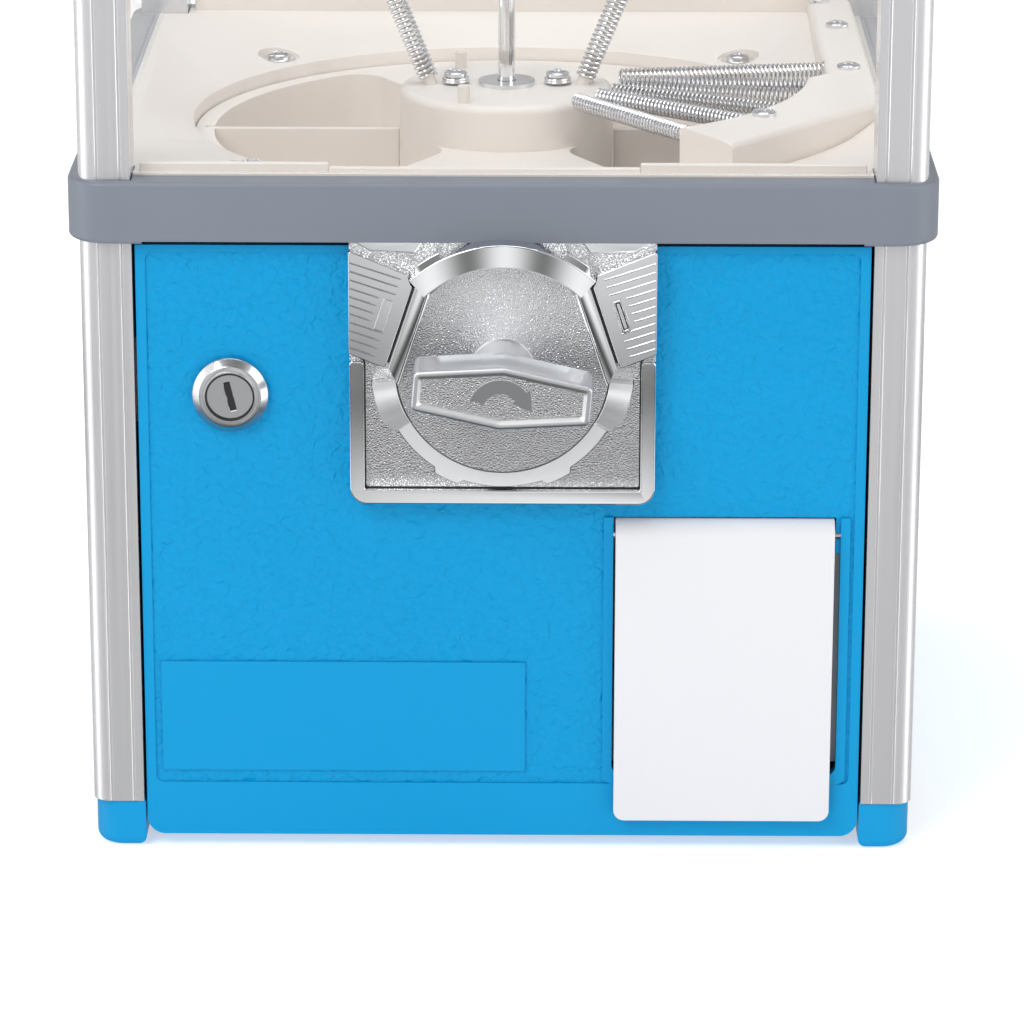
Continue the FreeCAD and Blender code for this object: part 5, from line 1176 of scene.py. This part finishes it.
# The straight wall from the rim to the heel, and the heel's rings as inset and depth before the back
GRIP_WALL = (1.4, 0.8)
GRIP_WALL_RINGS = 14
GRIP_HEEL = ((0.05, 0.4), (0.25, 0.1), (0.6, 0.0))
GRIP_POINTS = 240
GRIP_FLOOR = ((2.2, GRIP_RECESS + 0.1), (2.2, GRIP_RECESS - 0.2), (2.25, GRIP_RECESS - 0.22))
SCOOP_RADIUS = 12.0
SCOOP_DEPTH = 2.2
SCOOP_FLAT = 16.5
SCOOP_RUN = 5.0
SCOOP_BACK = 1.0
SCOOP_INSET = 0.3
SCOOP_FROM = 0.5
BOSS_RADIUS = 8.6
BOSS_FOOT = 0.35
BOSS_INTO_GRIP = 1.0
ARROW_INNER = 4.9
ARROW_OUTER = 8.6
ARROW_DROP = 3.6
ARROW_SWEEP = (168, 42)
ARROW_POINTS = 28
ARROW_NOTCH = 160.0
ARROW_BARB = 1.2
ARROW_TIP = (ARROW_OUTER * 0.97, 0.6)
ARROW_THICK = 0.3
ARROW_RISE = 0.45


def tilted(points):
    """Points about the handle's axis turned by the handle's resting tilt."""
    turn = math.radians(GRIP_TILT)
    x, y, z = np.moveaxis(np.asarray(points, float), -1, 0)
    return np.stack([x * math.cos(turn) + z * math.sin(turn), y,
                     MECH_Z - x * math.sin(turn) + z * math.cos(turn)], axis=-1)


def grip_outline(distance):
    """The grip's six-sided outline with round corners, moved inwards by a distance."""
    shape = np.array([(-GRIP_HALF, GRIP_END), (-GRIP_HALF, -GRIP_END), (0, -GRIP_MID),
                      (GRIP_HALF, -GRIP_END), (GRIP_HALF, GRIP_END), (0, GRIP_MID)])
    radius = np.maximum(GRIP_ROUND - distance, GRIP_LEAST_ROUND)
    return resampled(rounded_outline(mitred(shape, distance), radius, steps=8), GRIP_POINTS)


def handle_grip():
    """Rings of the six-sided outline from the recess floor over the round rim and down the wall to the back;
    the wall draws in by a round scoop that fades towards both ends."""
    depth = GRIP_BACK - GRIP_FRONT
    wall = [(0.0, step) for step in np.linspace(GRIP_WALL[0], depth - GRIP_WALL[1], GRIP_WALL_RINGS)]
    end = [(distance, depth - before) for distance, before in GRIP_HEEL]
    middle = (GRIP_FRONT + GRIP_BACK) / 2 + SCOOP_BACK
    rings = []
    for distance, back in [*GRIP_RIM, *wall, *end]:
        flat = grip_outline(distance)
        y = GRIP_FRONT + back
        dip = math.sqrt(max(SCOOP_RADIUS ** 2 - (y - middle) ** 2, 0.0)) - (SCOOP_RADIUS - SCOOP_DEPTH)
        fade = 1 - eased(np.abs(flat[:, 0]), SCOOP_FLAT, SCOOP_FLAT + SCOOP_RUN)
        on_wall = distance < SCOOP_INSET and back > SCOOP_FROM
        z = flat[:, 1] - np.sign(flat[:, 1]) * max(dip, 0.0) * fade * on_wall
        rings.append(np.column_stack([flat[:, 0], np.full(len(flat), y), z]))
    return surface("handle_grip", tilted(np.array(rings)))


def grip_floor():
    """The stippled floor of the recess."""
    rings = [at_depth(grip_outline(distance), GRIP_FRONT + depth) for distance, depth in GRIP_FLOOR]
    return surface("handle_floor", tilted(np.array(rings)))


def turn_arrow():
    """A flat arrow bent round the axis: an arc with a notched tail and a wide pointed head."""
    sweep = np.radians(np.linspace(*ARROW_SWEEP, ARROW_POINTS))
    spoke = np.column_stack([np.cos(sweep), np.sin(sweep)])
    outer_barb = spoke[-1] * (ARROW_OUTER + ARROW_BARB)
    inner_barb = spoke[-1] * (ARROW_INNER - ARROW_BARB)
    head = np.array([outer_barb, ARROW_TIP, inner_barb])
    tail = np.radians(ARROW_NOTCH)
    notch = np.array([[np.cos(tail), np.sin(tail)]]) * (ARROW_INNER + ARROW_OUTER) / 2
    outline = np.concatenate([spoke * ARROW_OUTER, head, spoke[::-1] * ARROW_INNER, notch])
    outline = outline - np.array([0.0, ARROW_DROP])
    front = GRIP_FRONT + GRIP_RECESS - ARROW_RISE
    rings = [at_depth(outline, front + ARROW_THICK), at_depth(outline, front)]
    return surface("turn_arrow", tilted(np.array(rings)))


def handle_boss():
    """A round boss between the grip and the disc, with a thin ring where it meets the disc."""
    length = DISC_FACE - GRIP_BACK
    foot = BOSS_RADIUS + BOSS_FOOT
    profile = [(foot, 0), (foot, BOSS_FOOT), (BOSS_RADIUS + 0.1, 0.6), (BOSS_RADIUS, 0.8),
               (BOSS_RADIUS, length - 0.2), (BOSS_RADIUS - 0.2, length + BOSS_INTO_GRIP)]
    return turned_piece("handle_boss", profile, (0, DISC_FACE, MECH_Z), (0, -1, 0), sides=96)


place(handle_grip(), soft_chrome, "handle")
place(grip_floor(), stippled, "handle")
place(turn_arrow(), arrow_metal, "handle")
place(handle_boss(), soft_chrome, "handle")


# CAD nodes that stay in view

coat(paint, "left_side_panel", "right_side_panel", "rear_panel")
coat(dark_plastic, "base_plate", "coin_tray")
coat(clear, "front_window", "rear_window", "left_window", "right_window")
coat(chrome, "centre_rod", "lock_nut")
coat(steel, "post_screws", "rod_nuts", "lock_catch", "mech_screws", "flap_hinge_pin", "pawl_pin",
     "drive_shaft", "ratchet_wheel", "shaft_clip", "crown_screws", "wheel_washer", "lock_cam", "cam_screw",
     "coin_pawl")
coat(chute_plastic, "outlet_chute")
coat(casting, "mech_housing")
coat(nylon, "drive_pinion", "crown_gear")


# Camera, light and floor

# The reference picture's camera: place in millimetres, angles in degrees, lens and sensor in millimetres
CAMERA_PLACE = (10.98, -1347.42, 496.76)
CAMERA_PITCH = 17.875
CAMERA_YAW = -0.390
CAMERA_ROLL = 0.112
CAMERA_LENS = 166.4
CAMERA_SENSOR = 36.0
CAMERA_NEAR = 0.05
CAMERA_FAR = 100.0
SKY_LIGHT = 0.5
FLOOR_HALF = 20000.0
FLOOR_GLOW = 0.5
# What mirrors see: shade by the height of the direction, strips of light by its angle, a glow at both sides
STUDIO_SHADES = ((-0.90, 0.10), (-0.60, 0.14), (-0.42, 0.45), (-0.35, 1.05), (-0.306, 1.15), (-0.296, 0.60),
                 (-0.285, 0.05), (-0.278, 0.07), (-0.271, 0.40), (-0.262, 1.25), (-0.250, 1.25), (0.10, 1.05),
                 (0.45, 0.9), (0.95, 0.25))
SOFTBOX_SPACING = 13.5
SOFTBOX_CONTRAST = 0.8
SIDE_BOX_ANGLE = 80.0
SIDE_BOX_SPREAD = 20.0
SIDE_BOX_GLOW = 2.2
# Each light's place and aim in millimetres, side in metres and power in watts
LIGHTS = (("key_softbox", (-900, -1300, 1500), (0, 0, 200), 1.0, 18.0),
          ("fill_softbox", (1300, -900, 900), (0, 0, 200), 1.0, 5.0),
          ("top_softbox", (0, 100, 1900), (0, 0, 200), 1.2, 12.0),
          ("bowl_softbox", (0, -20, 560), (0, 0, 190), 0.18, 0.34))


def add_camera():
    """The camera of the reference picture, from its place, pitch, yaw, roll and lens."""
    pitch, yaw, roll = (math.radians(angle) for angle in (CAMERA_PITCH, CAMERA_YAW, CAMERA_ROLL))
    ahead_flat = Vector((math.sin(yaw), math.cos(yaw), 0.0))
    right_flat = Vector((math.cos(yaw), -math.sin(yaw), 0.0))
    ahead = ahead_flat * math.cos(pitch) - Vector((0, 0, 1)) * math.sin(pitch)
    above = Vector((0, 0, 1)) * math.cos(pitch) + ahead_flat * math.sin(pitch)
    right = right_flat * math.cos(roll) + above * math.sin(roll)
    above = above * math.cos(roll) - right_flat * math.sin(roll)
    data = bpy.data.cameras.new("camera")
    data.lens = CAMERA_LENS
    data.sensor_width = CAMERA_SENSOR
    data.clip_start = CAMERA_NEAR
    data.clip_end = CAMERA_FAR
    camera = bpy.data.objects.new("camera", data)
    turn = Matrix((right, above, -ahead)).transposed().to_4x4()
    camera.matrix_world = Matrix.Translation(Vector(CAMERA_PLACE) * MM) @ turn
    bpy.context.scene.collection.objects.link(camera)
    bpy.context.scene.camera = camera


def add_light(name, place_mm, aim_mm, side, power):
    """A soft square light, aimed from one place at another."""
    data = bpy.data.lights.new(name, "AREA")
    data.shape = "RECTANGLE"
    data.size = side
    data.size_y = side
    data.energy = power
    light = bpy.data.objects.new(name, data)
    start = Vector(place_mm) * MM
    light.location = start
    light.rotation_mode = "QUATERNION"
    light.rotation_quaternion = (Vector(aim_mm) * MM - start).to_track_quat("-Z", "Y")
    light.visible_camera = False
    bpy.context.scene.collection.objects.link(light)


def add_sky():
    """An even sky for soft light; mirrors see a studio of shades by height, with upright softboxes."""
    world = bpy.data.worlds.new("sky")
    world.use_nodes = True
    tree = world.node_tree
    result = partial(math_node, tree)
    even = tree.nodes["Background"]
    even.inputs["Color"].default_value = (1.0, 1.0, 1.0, 1.0)
    even.inputs["Strength"].default_value = SKY_LIGHT
    direction = tree.nodes.new("ShaderNodeSeparateXYZ")
    tree.links.new(tree.nodes.new("ShaderNodeTexCoord").outputs["Generated"], direction.inputs["Vector"])
    shades = tree.nodes.new("ShaderNodeValToRGB")
    stops = shades.color_ramp.elements
    while len(stops) < len(STUDIO_SHADES):
        stops.new(0.5)
    for stop, (level, shade) in zip(stops, STUDIO_SHADES):
        stop.position = (level + 1) / 2
        stop.color = (shade, shade, shade, 1.0)
    height = result("MULTIPLY", result("ADD", direction.outputs["Z"], 1.0), 0.5)
    tree.links.new(height, shades.inputs["Fac"])
    azimuth = result("ARCTAN2", direction.outputs["X"], result("MULTIPLY", direction.outputs["Y"], -1.0))
    wave = result("COSINE", result("MULTIPLY", azimuth, 360.0 / SOFTBOX_SPACING))
    strips = result("ADD", result("MULTIPLY", wave, SOFTBOX_CONTRAST / 2), 1 - SOFTBOX_CONTRAST / 2)
    aside = result("SUBTRACT", result("ABSOLUTE", azimuth), math.radians(SIDE_BOX_ANGLE))
    spread = result("MULTIPLY", aside, 1 / math.radians(SIDE_BOX_SPREAD))
    glow = result("EXPONENT", result("MULTIPLY", result("MULTIPLY", spread, spread), -1.0))
    strips = result("MULTIPLY", strips, result("ADD", result("MULTIPLY", glow, SIDE_BOX_GLOW), 1.0))
    studio = tree.nodes.new("ShaderNodeBackground")
    tree.links.new(shades.outputs["Color"], studio.inputs["Color"])
    tree.links.new(strips, studio.inputs["Strength"])
    mirror = tree.nodes.new("ShaderNodeLightPath").outputs["Is Glossy Ray"]
    mix = tree.nodes.new("ShaderNodeMixShader")
    tree.links.new(mirror, mix.inputs["Fac"])
    tree.links.new(even.outputs["Background"], mix.inputs[1])
    tree.links.new(studio.outputs["Background"], mix.inputs[2])
    tree.links.new(mix.outputs["Shader"], tree.nodes["World Output"].inputs["Surface"])
    bpy.context.scene.world = world


def add_floor():
    """A wide pale floor that mirrors look past."""
    edges = ((-1, -1, 0), (1, -1, 0), (1, 1, 0), (-1, 1, 0))
    floor = mesh_object("floor", FLOOR_HALF * np.array(edges), [(0, 1, 2, 3)])
    finish = Finish("pale_floor")
    finish.colour(finish.noise(scale=3.0), (0.80, 0.80, 0.80), (0.82, 0.82, 0.82))
    finish.set("Roughness", 0.9)
    finish.set("Specular IOR Level", 0.0)
    finish.set("Emission Color", (1.0, 1.0, 1.0, 1.0))
    finish.set("Emission Strength", FLOOR_GLOW)
    floor.data.materials.append(finish.material)
    floor.visible_glossy = False
    floor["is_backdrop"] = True


add_camera()
add_sky()
add_floor()
for light in LIGHTS:
    add_light(*light)
bpy.context.scene.view_settings.view_transform = "Standard"

low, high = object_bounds()
